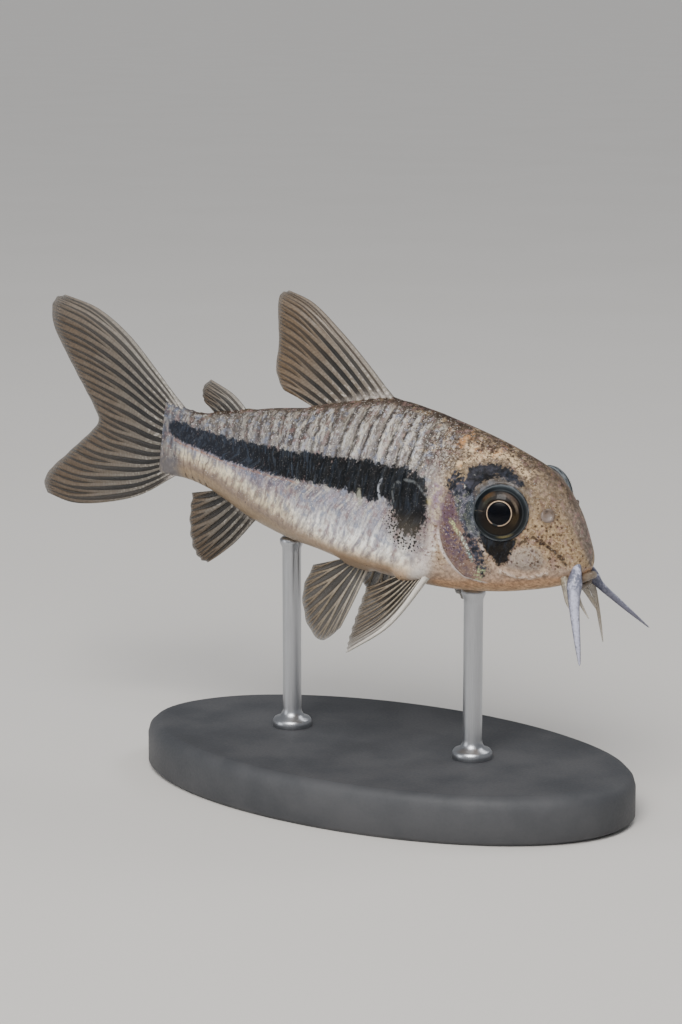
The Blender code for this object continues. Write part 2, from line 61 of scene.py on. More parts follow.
# Each row: station, how far the belly lies behind the back on that section, height of the back, height of the
# belly, half width, height of the widest line, and the fullness of the section above and below that line.
SECTIONS = np.array([
    [0.0, 0.0, 0.0, 0.0, 0.0, 0.0, 2.0, 2.0],
    [0.4, 0.3, 2.0, -2.0, 2.3, 0.0, 2.0, 2.0],
    [2.4, 1.2, 5.5, -4.0, 4.2, 0.4, 2.0, 2.0],
    [6.0, 1.6, 10.9, -5.9, 6.3, 1.2, 2.0, 2.1],
    [11.5, 1.0, 15.8, -7.8, 8.8, 1.6, 2.0, 2.2],
    [17.5, -1.0, 18.1, -9.3, 10.3, 1.2, 1.95, 2.3],
    [23.5, -4.0, 19.7, -10.2, 11.6, 0.0, 1.9, 2.4],
    [30.0, -5.0, 20.8, -11.1, 12.6, -1.2, 1.85, 2.5],
    [38.0, -3.0, 21.7, -11.7, 12.9, -2.0, 1.75, 2.6],
    [47.5, 0.0, 21.8, -11.7, 12.3, -2.6, 1.7, 2.6],
    [57.0, 0.0, 19.0, -11.2, 10.8, -2.4, 1.75, 2.5],
    [66.0, 0.0, 16.0, -11.2, 9.0, -1.4, 1.8, 2.3],
    [77.0, 0.0, 13.3, -9.8, 6.6, 0.2, 1.9, 2.1],
    [88.0, 0.0, 9.8, -6.6, 4.6, 1.4, 2.0, 2.0],
    [95.0, 0.0, 8.5, -5.8, 3.3, 1.4, 2.0, 2.0],
    [99.5, 0.0, 8.9, -6.1, 1.7, 1.4, 2.2, 2.2],
])
BACK_COLUMN, BELLY_COLUMN = 2, 3

# The skin's lattice: columns round the body, and rings on the head, on each scute and on the tail's root.
SKIN_COLUMNS = 200
HEAD_RINGS = 150
SCUTE_RINGS = 9
TAIL_RINGS = 14
TAIL_END = 102.6

# The scutes stand in two rows on each flank. Stations, steps, leans and offsets are in per cent.
SCUTES = 22
FIRST_SCUTE = 36.0
LAST_SCUTE = 96.5
SCUTE_RISE = 0.15 * MM
SCUTE_STEP = 0.35
SCUTE_WAVER = 0.42
LOWER_LEAN = 6.0
UPPER_LEAN = 2.6
UPPER_LEAN_FROM = 46.0
UPPER_LEAN_FULL = 64.0
ROW_OFFSET = 1.3
LATERAL_ANGLE = math.radians(72)
LATERAL_SEAM = 0.07
BARE_BACK = math.radians(7)
BARE_BELLY = math.radians(142)

# Each eye: station, angle round the body and how far its middle stands off the skin.
EYES = {True: (15.1, math.radians(60), 0.3 * MM), False: (15.6, math.radians(65), 0.0)}
EYE_RADIUS = 2.25 * MM
EYE_THICKNESS = 1.3 * MM
EYE_FORWARD = math.radians(22)
EYE_UP = math.radians(10)
# How far the skin is drawn up round each eye, and the height of that rim in the eye's own frame.
EYE_RIMS = {True: (0.8 * MM, -0.12 * MM), False: (1.2 * MM, 0.06 * MM)}
SOCKET_DEPTH = 1.2 * MM
NOSTRIL = (7.9, math.radians(49))
NOSTRIL_RADIUS = 0.64 * MM
MOUTH_CORNER = (1.8, 3.4, -3.0)

# Where the paired fins grow: first and last station, and the angle round the body at each.
PECTORAL_ROOT = (29.0, 34.8, math.radians(114), math.radians(132))
PELVIC_ROOT = (45.8, 49.8, math.radians(163), math.radians(160))
# How thick the flesh is at the paired fins' roots, and how many per cent a degree round the body takes up.
ROOT_RISES = ((PECTORAL_ROOT, 0.5 * MM), (PELVIC_ROOT, 0.3 * MM))
DEGREE_WIDTH = 0.12
# The sheaths of skin at the roots of the middle fins: first and last station, and angle round the body.
FIN_SHEATHS = ((47, 66.5, 0.0), (81, 90, 0.0), (76.5, 87.5, math.pi))
SHEATH_RISE = 0.2 * MM
SHEATH_WIDTH = 0.16

# Marks on the flank and head, as outlines of (station, height).
STRIPE = [
    (38.6, 11.4), (45.5, 11.6), (50.0, 10.6), (55.0, 9.9), (61.0, 8.8), (65.0, 8.2), (71.0, 7.4),
    (77.0, 6.9), (83.0, 6.5), (89.0, 6.1), (95.8, 6.1), (98.4, 6.2), (100.4, 4.8), (99.8, 3.2),
    (96.7, 2.6), (90.5, 2.4), (85.7, 2.1), (80.5, 2.0), (75.4, 2.2), (70.4, 2.6), (65.3, 2.9), (61.3, 3.4),
    (55.0, 4.1), (50.7, 4.3), (46.5, 4.4), (43.2, 4.0), (41.4, 4.6), (38.6, 6.4),
]
SHOULDER_BLOT = [
    (42.6, 11.8), (38.8, 12.2), (36.2, 12.7), (34.0, 12.4), (32.4, 11.1), (31.3, 9.2), (30.5, 7.0),
    (29.9, 4.0), (30.0, 1.4), (31.4, -0.6), (33.6, -1.6), (36.0, 0.2), (37.2, 3.2), (38.2, 5.0),
    (40.2, 5.9), (42.6, 6.2),
]
LOOSE_DOTS = [
    (39.0, 5.0), (39.0, 1.2), (37.6, -1.6), (35.6, -3.4), (33.0, -4.2), (30.2, -3.2), (29.2, -0.6),
    (29.8, 4.0), (34.0, 5.4),
]
EYE_ARCH = [
    (24.6, 14.6), (21.8, 16.0), (19.4, 16.3), (17.2, 15.9), (15.2, 15.0), (12.8, 13.7), (13.4, 13.2),
    (16.6, 14.0), (18.8, 14.1), (20.6, 13.0), (21.6, 11.6), (22.2, 10.2), (25.0, 11.0),
]
BEHIND_EYE = [
    (27.6, 9.6), (28.0, 12.8), (26.4, 13.9), (24.0, 13.6), (22.6, 12.6), (22.2, 10.2), (24.4, 9.0),
    (26.0, 9.2),
]
BELOW_EYE = [
    (18.8, 3.4), (18.2, 1.6), (16.8, 0.0), (15.6, -1.0), (14.5, -2.2), (13.2, -1.2), (12.4, 0.4),
    (11.8, 1.9), (10.9, 3.6), (15.0, 5.0),
]
SLATE = [
    (22.6, 4.8), (20.0, 3.6), (18.2, 1.8), (16.6, -1.0), (15.5, -3.4), (17.6, -4.9), (19.2, -2.4),
    (20.9, 0.4),
]
VIOLET = [
    (28.0, 9.0), (25.0, 9.4), (23.6, 7.1), (23.8, 5.2), (24.6, 3.4), (23.6, 0.6), (21.2, -1.6),
    (22.0, -3.4), (25.4, 0.2), (27.4, 4.6),
]
SHOULDER_VIOLET = [
    (30.6, 6.0), (30.6, -1.5), (29.8, -4.4), (28.0, -4.0), (28.2, -0.7), (29.0, 3.0),
]
GILL_COVER = [
    (13.5, -6.3), (18.1, -6.1), (21.1, -5.8), (22.8, -4.3), (24.1, -2.8), (25.5, -1.0), (26.6, 1.4),
    (27.1, 4.3), (27.5, 7.5), (27.2, 10.0), (25.5, 12.0), (22.5, 12.5), (20.4, 9.0), (19.4, 4.0),
    (17.4, 0.0), (14.0, -3.0),
]
# Other marks with an outline: how soft the edge is, in per cent, and the outline.
PATCHES = {
    "blue_grey": (1.8, [
        (26.4, 10.4), (22.0, 11.4), (20.4, 8.4), (19.2, 5.4), (17.6, 3.0), (20.2, 2.2), (22.8, 4.6),
        (24.6, 7.2),
    ]),
    "marbled": (4.0, [
        (42.0, 20.5), (38.0, 13.6), (28.0, 12.0), (24.0, 15.4), (16.0, 16.6), (12.0, 14.0), (14.0, 18.0),
        (24.0, 21.0),
    ]),
    "cheek": (1.6, [
        (12.5, 1.2), (10.8, 2.4), (9.1, 3.2), (7.3, 2.2), (6.4, 0.2), (7.4, -1.4), (9.7, -2.0),
        (13.0, -1.8),
    ]),
}
# Marks along a line: how far each reaches from its line, in per cent, and the line.
LINES = {
    "groove": (0.9, [(12.2, 1.8), (11.2, 2.9), (8.9, 4.7), (7.9, 4.1), (6.2, 3.3), (4.3, 2.0), (2.8, 0.1)]),
    "jaw_line": (0.7, [(14.1, -3.1), (11.6, -3.7), (9.0, -3.5), (6.1, -2.0)]),
    "gold_arch": (0.9, [
        (27.6, 14.6), (25.6, 15.6), (22.6, 17.0), (20.4, 17.6), (18.4, 17.3), (16.3, 16.4), (13.2, 14.9),
    ]),
    "streak": (0.6, [(24.9, 4.7), (24.2, 4.2), (23.6, 3.5), (21.7, 1.8), (20.7, 0.4), (19.5, -1.8)]),
    "streak_shade": (1.0, [(25.2, 3.0), (23.8, 1.9), (22.4, 0.4), (21.2, -1.6)]),
    "green_patch": (1.1, [(17.6, -3.2), (18.4, -4.4), (18.4, -5.6)]),
    "bright_mark": (0.42, [(41.5, 8.6), (41.9, 7.5), (41.6, 6.3), (40.9, 5.2), (40.2, 4.5)]),
    "light_notch": (1.2, [(46.2, 5.4), (45.8, 4.4), (45.0, 3.0)]),
    "blot_arc": (0.45, [
        (38.7, 3.8), (37.4, 5.4), (38.4, 7.4), (37.9, 8.8), (36.0, 9.7), (34.5, 9.9), (33.2, 9.5),
        (31.7, 8.4), (30.2, 7.6),
    ]),
}
PINK_LINE = [(50.0, 3.6), (61.0, 2.9), (70.0, 2.1), (80.0, 1.5), (90.0, 1.9), (98.0, 2.1)]
# Small round marks: station, height and size.
GOLD_SPOTS = ((28.2, 18.6, 1.5), (25.6, 17.6, 1.0), (21.0, 17.6, 0.9), (23.6, 16.9, 0.9), (26.6, 14.6, 0.7))
SPARKLES = (
    (37.1, 10.7, 0.24), (36.6, 11.5, 0.2), (42.2, 11.9, 0.24), (41.4, 10.6, 0.2), (33.4, 11.6, 0.22),
    (30.2, 10.0, 0.3), (23.9, 11.2, 0.3), (23.1, 13.6, 0.22), (22.4, 12.4, 0.2), (27.1, -1.5, 0.5),
    (28.2, -2.6, 0.4),
)
YELLOW_SPOTS = ((30.0, 7.2, 0.4),)
# The pale band behind the gill cover: height, station of its middle, and height, half width.
BAND_MIDDLE = (
    (-9, 31), (-4, 28.6), (-1.4, 27.6), (1.1, 27.8), (3.3, 28.1), (6.2, 28.4), (9.8, 29.0), (12.6, 30.4),
)
BAND_WIDTH = ((-9, 1.6), (-3, 1.2), (2, 0.9), (6, 1.2), (12, 1.5))

# Relief of the head: how far the gill cover, shoulder and cheek stand out, how deep the gap behind the gill
# cover is, and for some lines the height of a ridge along them, or the depth of a groove, and its width.
GILL_RISE = 0.26 * MM
GILL_GAP_DEPTH = 0.12 * MM
SHOULDER_RISE = 0.12 * MM
CHEEK_RISE = 0.16 * MM
RIDGES = {"blot_arc": (0.1 * MM, 0.35), "groove": (-0.13 * MM, 0.4), "jaw_line": (0.1 * MM, 0.5)}


def hermite(start, end, leave, arrive, t):
    return (
        (2 * t**3 - 3 * t**2 + 1) * start
        + (t**3 - 2 * t**2 + t) * leave
        + (3 * t**2 - 2 * t**3) * end
        + (t**3 - t**2) * arrive
    )


def smooth_curve(points, share):
    """Points on a smooth curve through the given ones, at shares of the way from the first to the last."""
    points = np.asarray(points, float)
    share = np.clip(np.asarray(share, float), 0.0, 1.0)
    last = len(points) - 1
    leg = np.minimum((share * last).astype(int), last - 1)
    t = (share * last - leg)[..., None]
    if last == 1:
        return points[0] + (points[1] - points[0]) * t
    slopes = np.gradient(points, axis=0)
    return hermite(points[leg], points[leg + 1], slopes[leg], slopes[leg + 1], t)


def ease(value, low, high):
    """0 at low, 1 at high, and smooth between."""
    t = np.clip((value - low) / (high - low), 0.0, 1.0)
    return t * t * (3 - 2 * t)


def hump(away, width):
    """1 where away is 0, falling off smoothly over about the given width."""
    return np.exp(-((away / width) ** 2))


def section(station):
    """The body's sections at the given stations, one row of SECTIONS for each."""
    knots = np.sqrt(SECTIONS[:, 0])
    slopes = np.gradient(SECTIONS, knots, axis=0)
    spot = np.sqrt(np.maximum(np.asarray(station, float), 0.0))
    leg = np.clip(np.searchsorted(knots, spot, side="right") - 1, 0, len(knots) - 2)
    width = (knots[leg + 1] - knots[leg])[..., None]
    share = (spot - knots[leg])[..., None] / width
    return hermite(SECTIONS[leg], SECTIONS[leg + 1], width * slopes[leg], width * slopes[leg + 1], share)


def body(station, angle):
    """Station, side and height of points of the body's smooth surface. The angle runs from 0 on the back to
    pi on the belly, negative on the right side. Behind the last section the body tapers off."""
    inside = np.minimum(station, SECTIONS[-1, 0])
    _, slant, back, belly, half_width, widest, above, below = np.moveaxis(section(inside), -1, 0)
    up, out = np.cos(angle), np.abs(np.sin(angle))
    full = np.where(up > 0, above, below)
    reach = np.where(up > 0, back - widest, widest - belly)
    taper = 1 - 0.8 * ease(station, SECTIONS[-1, 0], TAIL_END)
    side = np.sign(angle) * half_width * taper * out ** (2 / full)
    height = widest + np.sign(up) * reach * np.abs(up) ** (2 / full)
    lean = slant * ((back + belly) / 2 - height) / np.maximum(back - belly, 1e-6)
    return np.stack([station + lean, side, height], axis=-1)


def place(measures):
    """Points in metres in the fish's frame, from station, side and height in per cent."""
    return np.asarray(measures, float) * (-PER_CENT, PER_CENT, PER_CENT)


def skin_spot(station, angle, left):
    """A point of the smooth body on one flank, in metres, and the way out of the skin there."""
    turn = angle if left else -angle
    stations, turns = np.array([station, station + 1, station]), np.array([turn, turn, turn + 0.05])
    here, along, around = place(body(stations, turns))
    outward = Vector(np.cross(along - here, around - here)).normalized()
    if outward.y * turn < 0:
        outward = -outward
    return Vector(here), outward


def eye_frame(left):
    station, angle, lift = EYES[left]
    spot, _ = skin_spot(station, angle, left)
    side = 1 if left else -1
    axis = Vector((
        math.sin(EYE_FORWARD) * math.cos(EYE_UP),
        side * math.cos(EYE_FORWARD) * math.cos(EYE_UP),
        math.sin(EYE_UP),
    ))
    turn = axis.to_track_quat("Z", "Y").to_matrix().to_4x4()
    return Matrix.Translation(spot + axis * lift) @ turn


def moved(points, frame_of):
    """A lattice's points, taken through a matrix."""
    return points @ np.array(frame_of.to_3x3()).T + np.array(frame_of.translation)


def eye_view(points, left):
    """Points in an eye's own frame, with the eye's axis as Z, and how far they lie from that axis."""
    local = moved(points, eye_frame(left).inverted())
    return local, np.hypot(local[..., 0], local[..., 1])


def line_distance(station, height, line):
    """How far points lie from a line through the given places, in per cent."""
    best = np.full(np.shape(station), np.inf)
    for (s1, h1), (s2, h2) in zip(line[:-1], line[1:]):
        along_s, along_h = s2 - s1, h2 - h1
        share = ((station - s1) * along_s + (height - h1) * along_h) / (along_s**2 + along_h**2)
        share = np.clip(share, 0, 1)
        best = np.minimum(best, np.hypot(station - s1 - share * along_s, height - h1 - share * along_h))
    return best


def outline_distance(station, height, outline):
    """How far points lie outside an outline, negative inside it, in per cent."""
    ring = [*outline, outline[0]]
    inside = np.zeros(np.shape(station), bool)
    for (s1, h1), (s2, h2) in zip(ring[:-1], ring[1:]):
        crosses = (h1 > height) != (h2 > height)
        spot = s1 + (height - h1) * (s2 - s1) / (h2 - h1 if h2 != h1 else 1e-9)
        inside ^= crosses & (station < spot)
    return np.where(inside, -1, 1) * line_distance(station, height, ring)


def inside(station, height, outline, soft):
    """1 well inside an outline, 0 well outside; soft is how wide the change is, in per cent."""
    return np.clip(0.5 - outline_distance(station, height, outline) / soft, 0.0, 1.0)


def beside(station, height, line, reach):
    """1 on a line, falling to 0 at the given reach from it, in per cent."""
    return np.clip(1.0 - line_distance(station, height, line) / reach, 0.0, 1.0)


def lattice_mesh(rows, columns, points, facts):
    """A grid of rows by columns squares, its points moved to the given ones and the facts kept on them."""
    bm = bmesh.new()
    bmesh.ops.create_grid(bm, x_segments=columns, y_segments=rows, size=0.5)
    mesh = from_bmesh(bm)
    flat = np.empty(len(mesh.vertices) * 3)
    mesh.vertices.foreach_get("co", flat)
    column = np.rint((flat[0::3] + 0.5) * columns).astype(int)
    row = np.rint((flat[1::3] + 0.5) * rows).astype(int)
    mesh.vertices.foreach_set("co", points[row, column].ravel())
    for name, values in facts.items():
        keep_fact(mesh, name, values[row, column])
    return mesh


def keep_fact(mesh, name, values):
    """Keeps a number or a vector on each point of the mesh, for its material."""
    single = values.ndim == 1
    layer = mesh.attributes.new(name, "FLOAT" if single else "FLOAT_VECTOR", "POINT")
    layer.data.foreach_set("value" if single else "vector", values.ravel())


def close_mesh(mesh, merge=1e-7, split=False):
    """Merges the points that meet, fills the open ends and turns all faces outwards. With split, the faces
    that fill the ends are cut into triangles."""
    bm = bmesh.new()
    bm.from_mesh(mesh)
    bmesh.ops.remove_doubles(bm, verts=bm.verts, dist=merge)
    bmesh.ops.holes_fill(bm, edges=[e for e in bm.edges if e.is_boundary], sides=0)
    if split:
        bmesh.ops.triangulate(bm, faces=[face for face in bm.faces if len(face.verts) > 4])
    bmesh.ops.recalc_face_normals(bm, faces=bm.faces)
    bm.to_mesh(mesh)
    bm.free()


def from_bmesh(bm):
    mesh = bpy.data.meshes.new("shape")
    bm.to_mesh(mesh)
    bm.free()
    return mesh


def link(name, data):
    """A new object in the scene with the given mesh, light or lens."""
    made = bpy.data.objects.new(name, data)
    bpy.context.scene.collection.objects.link(made)
    return made


def piece(name, mesh, finish, nodes=(), pose=POSE):
    """Puts a finished mesh in the scene, on the root body, in place of the named solids."""
    mesh.name = name
    mesh.transform(pose)
    mesh.materials.append(finish)
    mesh.shade_smooth()
    made = link(name, mesh)
    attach(made, "root")
    if nodes:
        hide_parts(*nodes)
    return made


# Materials


def tone(red, green, blue):
    """A colour given in screen values from 0 to 255, as the shaders take it."""
    parts = [c / 255 for c in (red, green, blue)]
    return tuple(c / 12.92 if c <= 0.04045 else ((c + 0.055) / 1.055) ** 2.4 for c in parts)


class Value:
    """A number on its way through a material. Arithmetic on it adds Math nodes."""

    def __init__(self, finish, socket):
        self.finish = finish
        self.socket = socket

    def _math(self, operation, first, second=0.0, clamp=False):
        settings = {"operation": operation, "use_clamp": clamp}
        return self.finish.node("ShaderNodeMath", settings, {0: first, 1: second})

    def __add__(self, other):
        return self._math("ADD", self, other)

    def __radd__(self, other):
        return self._math("ADD", other, self)

    def __sub__(self, other):
        return self._math("SUBTRACT", self, other)

    def __rsub__(self, other):
        return self._math("SUBTRACT", other, self)

    def __mul__(self, other):
        return self._math("MULTIPLY", self, other)

    def __rmul__(self, other):
        return self._math("MULTIPLY", other, self)

    def largest(self, other):
        return self._math("MAXIMUM", self, other)

    def size(self):
        return self._math("ABSOLUTE", self)

    def clamped(self):
        return self._math("ADD", self, 0.0, clamp=True)

    def wave(self):
        return self._math("SINE", self)

    def angle_off(self, spot):
        """How far this angle is from another, from 0 to pi."""
        return self._math("PINGPONG", self - spot, math.pi)

    def ease(self, low, high):
        """0 at low, 1 at high, smooth between; low may be the larger."""
        settings = {"interpolation_type": "SMOOTHSTEP"}
        if low < high:
            return self.finish.node("ShaderNodeMapRange", settings, {0: self, 1: low, 2: high})
        return self.finish.node("ShaderNodeMapRange", settings, {0: self, 1: high, 2: low, 3: 1.0, 4: 0.0})


class Finish:
    """A material, with its fixed numbers on the shader's own sockets, the nodes that vary the rest, and the
    colour that its layers have made so far. Colours are screen values from 0 to 255."""

    def __init__(self, name, **fixed):
        self.material = bpy.data.materials.new(name)
        self.material.use_nodes = True
        self.tree = self.material.node_tree
        self.shader = self.tree.nodes["Principled BSDF"]
        self.colour = None
        for socket, value in fixed.items():
            self.shader.inputs[socket.replace("_", " ").title().replace("Ior", "IOR")].default_value = value

    def node(self, kind, settings=None, inputs=None, output=0):
        made = self.tree.nodes.new(kind)
        for name, value in (settings or {}).items():
            if name == "stops":
                stops = made.color_ramp.elements
                stops.remove(stops[1])
                stops[0].position, stops[0].color = value[0][0], (*value[0][1], 1.0)
                for spot, colour in value[1:]:
                    stops.new(spot).color = (*colour, 1.0)
            else:
                setattr(made, name, value)
        for socket, value in (inputs or {}).items():
            if isinstance(value, Value):
                self.tree.links.new(value.socket, made.inputs[socket])
            elif isinstance(value, tuple) and len(value) == 3 and made.inputs[socket].type == "RGBA":
                made.inputs[socket].default_value = (*value, 1.0)
            else:
                made.inputs[socket].default_value = value
        return Value(self, made.outputs[output])

    def feed(self, **sockets):
        """Links values to the shader's sockets."""
        for name, value in sockets.items():
            self.tree.links.new(value.socket, self.shader.inputs[name.replace("_", " ").title()])

    def fact(self, name, output=2):
        """A number kept on the points of the mesh, or with output 1 a vector."""
        return self.node("ShaderNodeAttribute", {"attribute_name": name}, output=output)

    def where(self):
        return self.node("ShaderNodeTexCoord", output=3)

    def mapped(self, vector, **change):
        """A place moved by a Location or stretched by a Scale."""
        return self.node("ShaderNodeMapping", None, {"Vector": vector, **change})

    def blend(self, how, share, first, second):
        """Two colours or factors put together in the given way, as far as share says."""
        settings = {"data_type": "RGBA", "blend_type": how}
        return self.node("ShaderNodeMix", settings, {0: share, 6: first, 7: second}, output=2)

    def mix(self, share, first, second):
        """A colour between two: the first where share is 0, the second where it is 1."""
        first, second = (tone(*c) if isinstance(c, tuple) else c for c in (first, second))
        return self.blend("MIX", share, first, second)

    def paint(self, share, colour):
        """Lays a colour over the layers so far, as thickly as share says."""
        self.colour = self.mix(share, self.colour, colour)

    def mottle(self, share, pattern, dark, light):
        """Darkens and lightens the layers so far after a pattern, by factors for red, green and blue."""
        self.colour = self.blend("MULTIPLY", share, self.colour, self.blend("MIX", pattern, dark, light))

    def ramp(self, value, stops):
        """Colours along a value, from rows of where each stands and its screen values."""
        stops = [(row[0], tone(*row[1:])) for row in stops]
        return self.node("ShaderNodeValToRGB", {"stops": stops}, {0: value})

    def noise(self, size, detail=2.0, rough=0.5, vector=None):
        """Soft noise from 0 to 1, its lumps about the given size in metres across."""
        inputs = {"Vector": vector or self.where(), "Scale": 1 / size, "Detail": detail, "Roughness": rough}
        return self.node("ShaderNodeTexNoise", None, inputs)

    def cells(self, size, vector):
        """How far a point is from the middle of its cell, for dots; cells are the given size in metres."""
        return self.node("ShaderNodeTexVoronoi", None, {"Vector": vector, "Scale": 1 / size})

    def bump(self, height, depth, strength=0.5):
        """A bump of the given depth in metres."""
        return self.node("ShaderNodeBump", None, {"Height": height, "Distance": depth, "Strength": strength})


class SkinFinish(Finish):
    """The skin's material, with the noises and facts that its layers share. other and blotches lie apart from
    the plain noises, so that they don't follow them; strokes and streaks are drawn out round the body, as the
    scutes are. around runs from 0 on the back to 1 on the belly."""

    def __init__(self):
        super().__init__("fish_skin", coat_roughness=0.22, specular_ior_level=0.1)
        self.here = self.where()
        self.shifted = self.mapped(self.here, Location=(0.01, 0.02, 0.03))
        unrolled = self.fact("unrolled", 1)
        self.broad = self.noise(2.2 * MM, 2, vector=self.here)
        self.middling = self.noise(0.85 * MM, 3, vector=self.here)
        self.fine = self.noise(0.3 * MM, 3, 0.6, self.here)
        self.grain = self.noise(0.12 * MM, 2, vector=self.here)
        self.streaks = self.noise(0.22 * MM, 3, 0.6, self.mapped(unrolled, Scale=(1.0, 0.3, 1.0)))
        self.strokes = self.noise(0.5 * MM, 3, 0.55, self.mapped(unrolled, Scale=(1.0, 0.22, 1.0)))
        self.other = self.noise(0.6 * MM, 3, vector=self.shifted)
        self.blotches = self.noise(0.24 * MM, 2, 0.55, self.shifted)
        self.worms = (self.noise(0.42 * MM, 2, vector=self.shifted) - 0.5).size().ease(0.08, 0.01)
        self.around, self.station, self.trunk, self.scuted, self.upper, self.marbled = (
            self.fact(name) for name in ("around", "station", "trunk", "scuted", "upper_row", "marbled")
        )
        self.low = self.around.ease(0.42, 0.52)


# The ground colours down each part, as how far round the body from the back they stand, and screen values.
FLANK_TONES = [
    (0.00, 54, 45, 38), (0.04, 70, 60, 51), (0.09, 98, 88, 79), (0.17, 136, 128, 120), (0.36, 150, 147, 148),
    (0.43, 156, 151, 161), (0.48, 196, 196, 200), (0.54, 234, 231, 224), (0.59, 226, 217, 202),
    (0.635, 206, 187, 163), (0.68, 190, 162, 134), (0.73, 178, 152, 126), (1.00, 178, 160, 140),
]
# On the rear, the bright cream band from 0.52 to 0.575 is partly the flank's own cream and partly a painted
# highlight.
REAR_TONES_WITH_HIGHLIGHT = [
    (0.00, 58, 49, 41), (0.04, 72, 62, 53), (0.09, 88, 80, 72), (0.20, 100, 95, 91), (0.40, 110, 108, 114),
    (0.455, 132, 126, 138), (0.49, 164, 156, 158), (0.52, 204, 196, 178), (0.575, 212, 198, 168),
    (0.62, 160, 142, 124), (0.66, 142, 124, 110), (0.72, 160, 138, 112), (1.00, 152, 132, 108),
]
HEAD_TONES = [
    (0.00, 80, 67, 54), (0.05, 104, 90, 76), (0.16, 134, 117, 98), (0.24, 150, 130, 103),
    (0.36, 162, 139, 108), (0.50, 164, 141, 112), (0.60, 170, 149, 130), (0.68, 180, 154, 134),
    (0.745, 192, 154, 122), (0.84, 194, 160, 128), (1.00, 190, 162, 132),
]


def lay_ground(f):
    """The ground colours of head, flank and rear, which meet in soft seams. The rear's colours hold a painted
    highlight in a cream band low on the flank.
    """
    level = f.around + (f.broad - 0.5) * 0.05 + (f.fine - 0.5) * 0.05
    muzzle = f.station.ease(8.0, 2.0) * f.around.ease(0.22, 0.08) * 0.7
    head = f.mix(muzzle, f.ramp(level, HEAD_TONES), (124, 114, 108))
    flank = f.mix(f.station.ease(52.0, 68.0), f.ramp(level, FLANK_TONES), f.ramp(level, REAR_TONES_WITH_HIGHLIGHT))
    f.colour = f.mix(f.trunk, head, flank)
    f.paint(f.station.ease(94.0, 98.0) * 0.8, (96, 99, 108))


def lay_streaks(f):
    """Lumps on the head, and brushed strokes and bars down the flank."""
    f.mottle(0.85 - 0.55 * f.trunk, f.fine.ease(0.3, 0.7), (0.60, 0.58, 0.56), (1.42, 1.42, 1.42))
    brushed = f.trunk * (0.4 + 0.6 * f.low) * f.around.ease(0.68, 0.6)
    f.mottle(brushed, f.strokes.ease(0.38, 0.6), (0.55, 0.53, 0.6), (1.36, 1.36, 1.34))
    bars = f.trunk * (0.6 + 0.25 * f.upper) * f.around.ease(0.7, 0.6)
    bars = bars * (0.55 + 0.45 * f.station.ease(82.0, 60.0))
    f.mottle(bars, f.streaks.ease(0.3, 0.7), (0.54, 0.54, 0.55), (1.46, 1.46, 1.48))


def lay_patches(f):
    """Patches of other colours, thin wavy lines, and gold on the brow."""
    marbling = f.middling.ease(0.48, 0.62) * f.fine.ease(0.42, 0.56) * (0.14 + 0.7 * f.marbled)
    f.paint(marbling, (206, 180, 144))
    pale = f.strokes.ease(0.47, 0.6) * f.streaks.ease(0.4, 0.54) * f.trunk * 0.7
    pale = pale * f.around.ease(0.05, 0.12) * (1 - f.low) * (0.45 + 0.55 * f.station.ease(80.0, 58.0))
    f.paint(pale, (212, 206, 190))
    f.paint(f.other.ease(0.53, 0.66) * 0.5 * f.around.ease(0.66, 0.56), (146, 116, 112))
    blue = f.other.ease(0.47, 0.34) * f.trunk * 0.6 * f.around.ease(0.6, 0.5) * f.around.ease(0.06, 0.14)
    f.paint(blue, (128, 138, 160))
    f.paint(f.worms * (0.2 + 0.6 * f.marbled) * (1 - 0.7 * f.low), (58, 43, 34))
    gold = (f.fact("gold") * 1.3 - 0.6 + (f.fine - 0.5) * 3.0).clamped()
    f.paint(gold * 0.85, f.mix(f.middling.ease(0.4, 0.6), (208, 150, 92), (236, 208, 170)))


def lay_scutes(f):
    """Each scute's own tone, a bright crest before its rear edge, which is a painted highlight on the scute's
    raised rear, and a dark, broken seam behind it.
    """
    gap = f.fact("scute_gap") + (f.fine - 0.5) * 0.7
    broken = 0.1 + 0.9 * f.noise(0.6 * MM, 3, vector=f.shifted).ease(0.38, 0.54)
    seam = gap.ease(0.62, 0.0) * f.scuted * (0.05 + 0.95 * f.upper) * broken
    seam = seam * (0.4 + 0.6 * f.station.ease(74.0, 50.0))
    # The crest is a painted highlight on the raised rear of each scute.
    crest_highlight = f.fact("scute_phase").ease(0.2, 0.85) * f.scuted * f.upper
    crest_highlight = crest_highlight * (f.fine * 0.5 + f.streaks * 0.5).ease(0.47, 0.57)
    crest_highlight = crest_highlight * (0.3 + 0.3 * f.station.ease(76.0, 56.0))
    f.paint(f.fact("scute_tint").clamped() * 0.4 * f.scuted * f.upper, (104, 98, 92))
    f.paint(crest_highlight, f.mix(f.other.ease(0.4, 0.6), (220, 210, 192), (194, 202, 216)))
    f.paint((seam * 0.85).clamped(), (50, 47, 46))


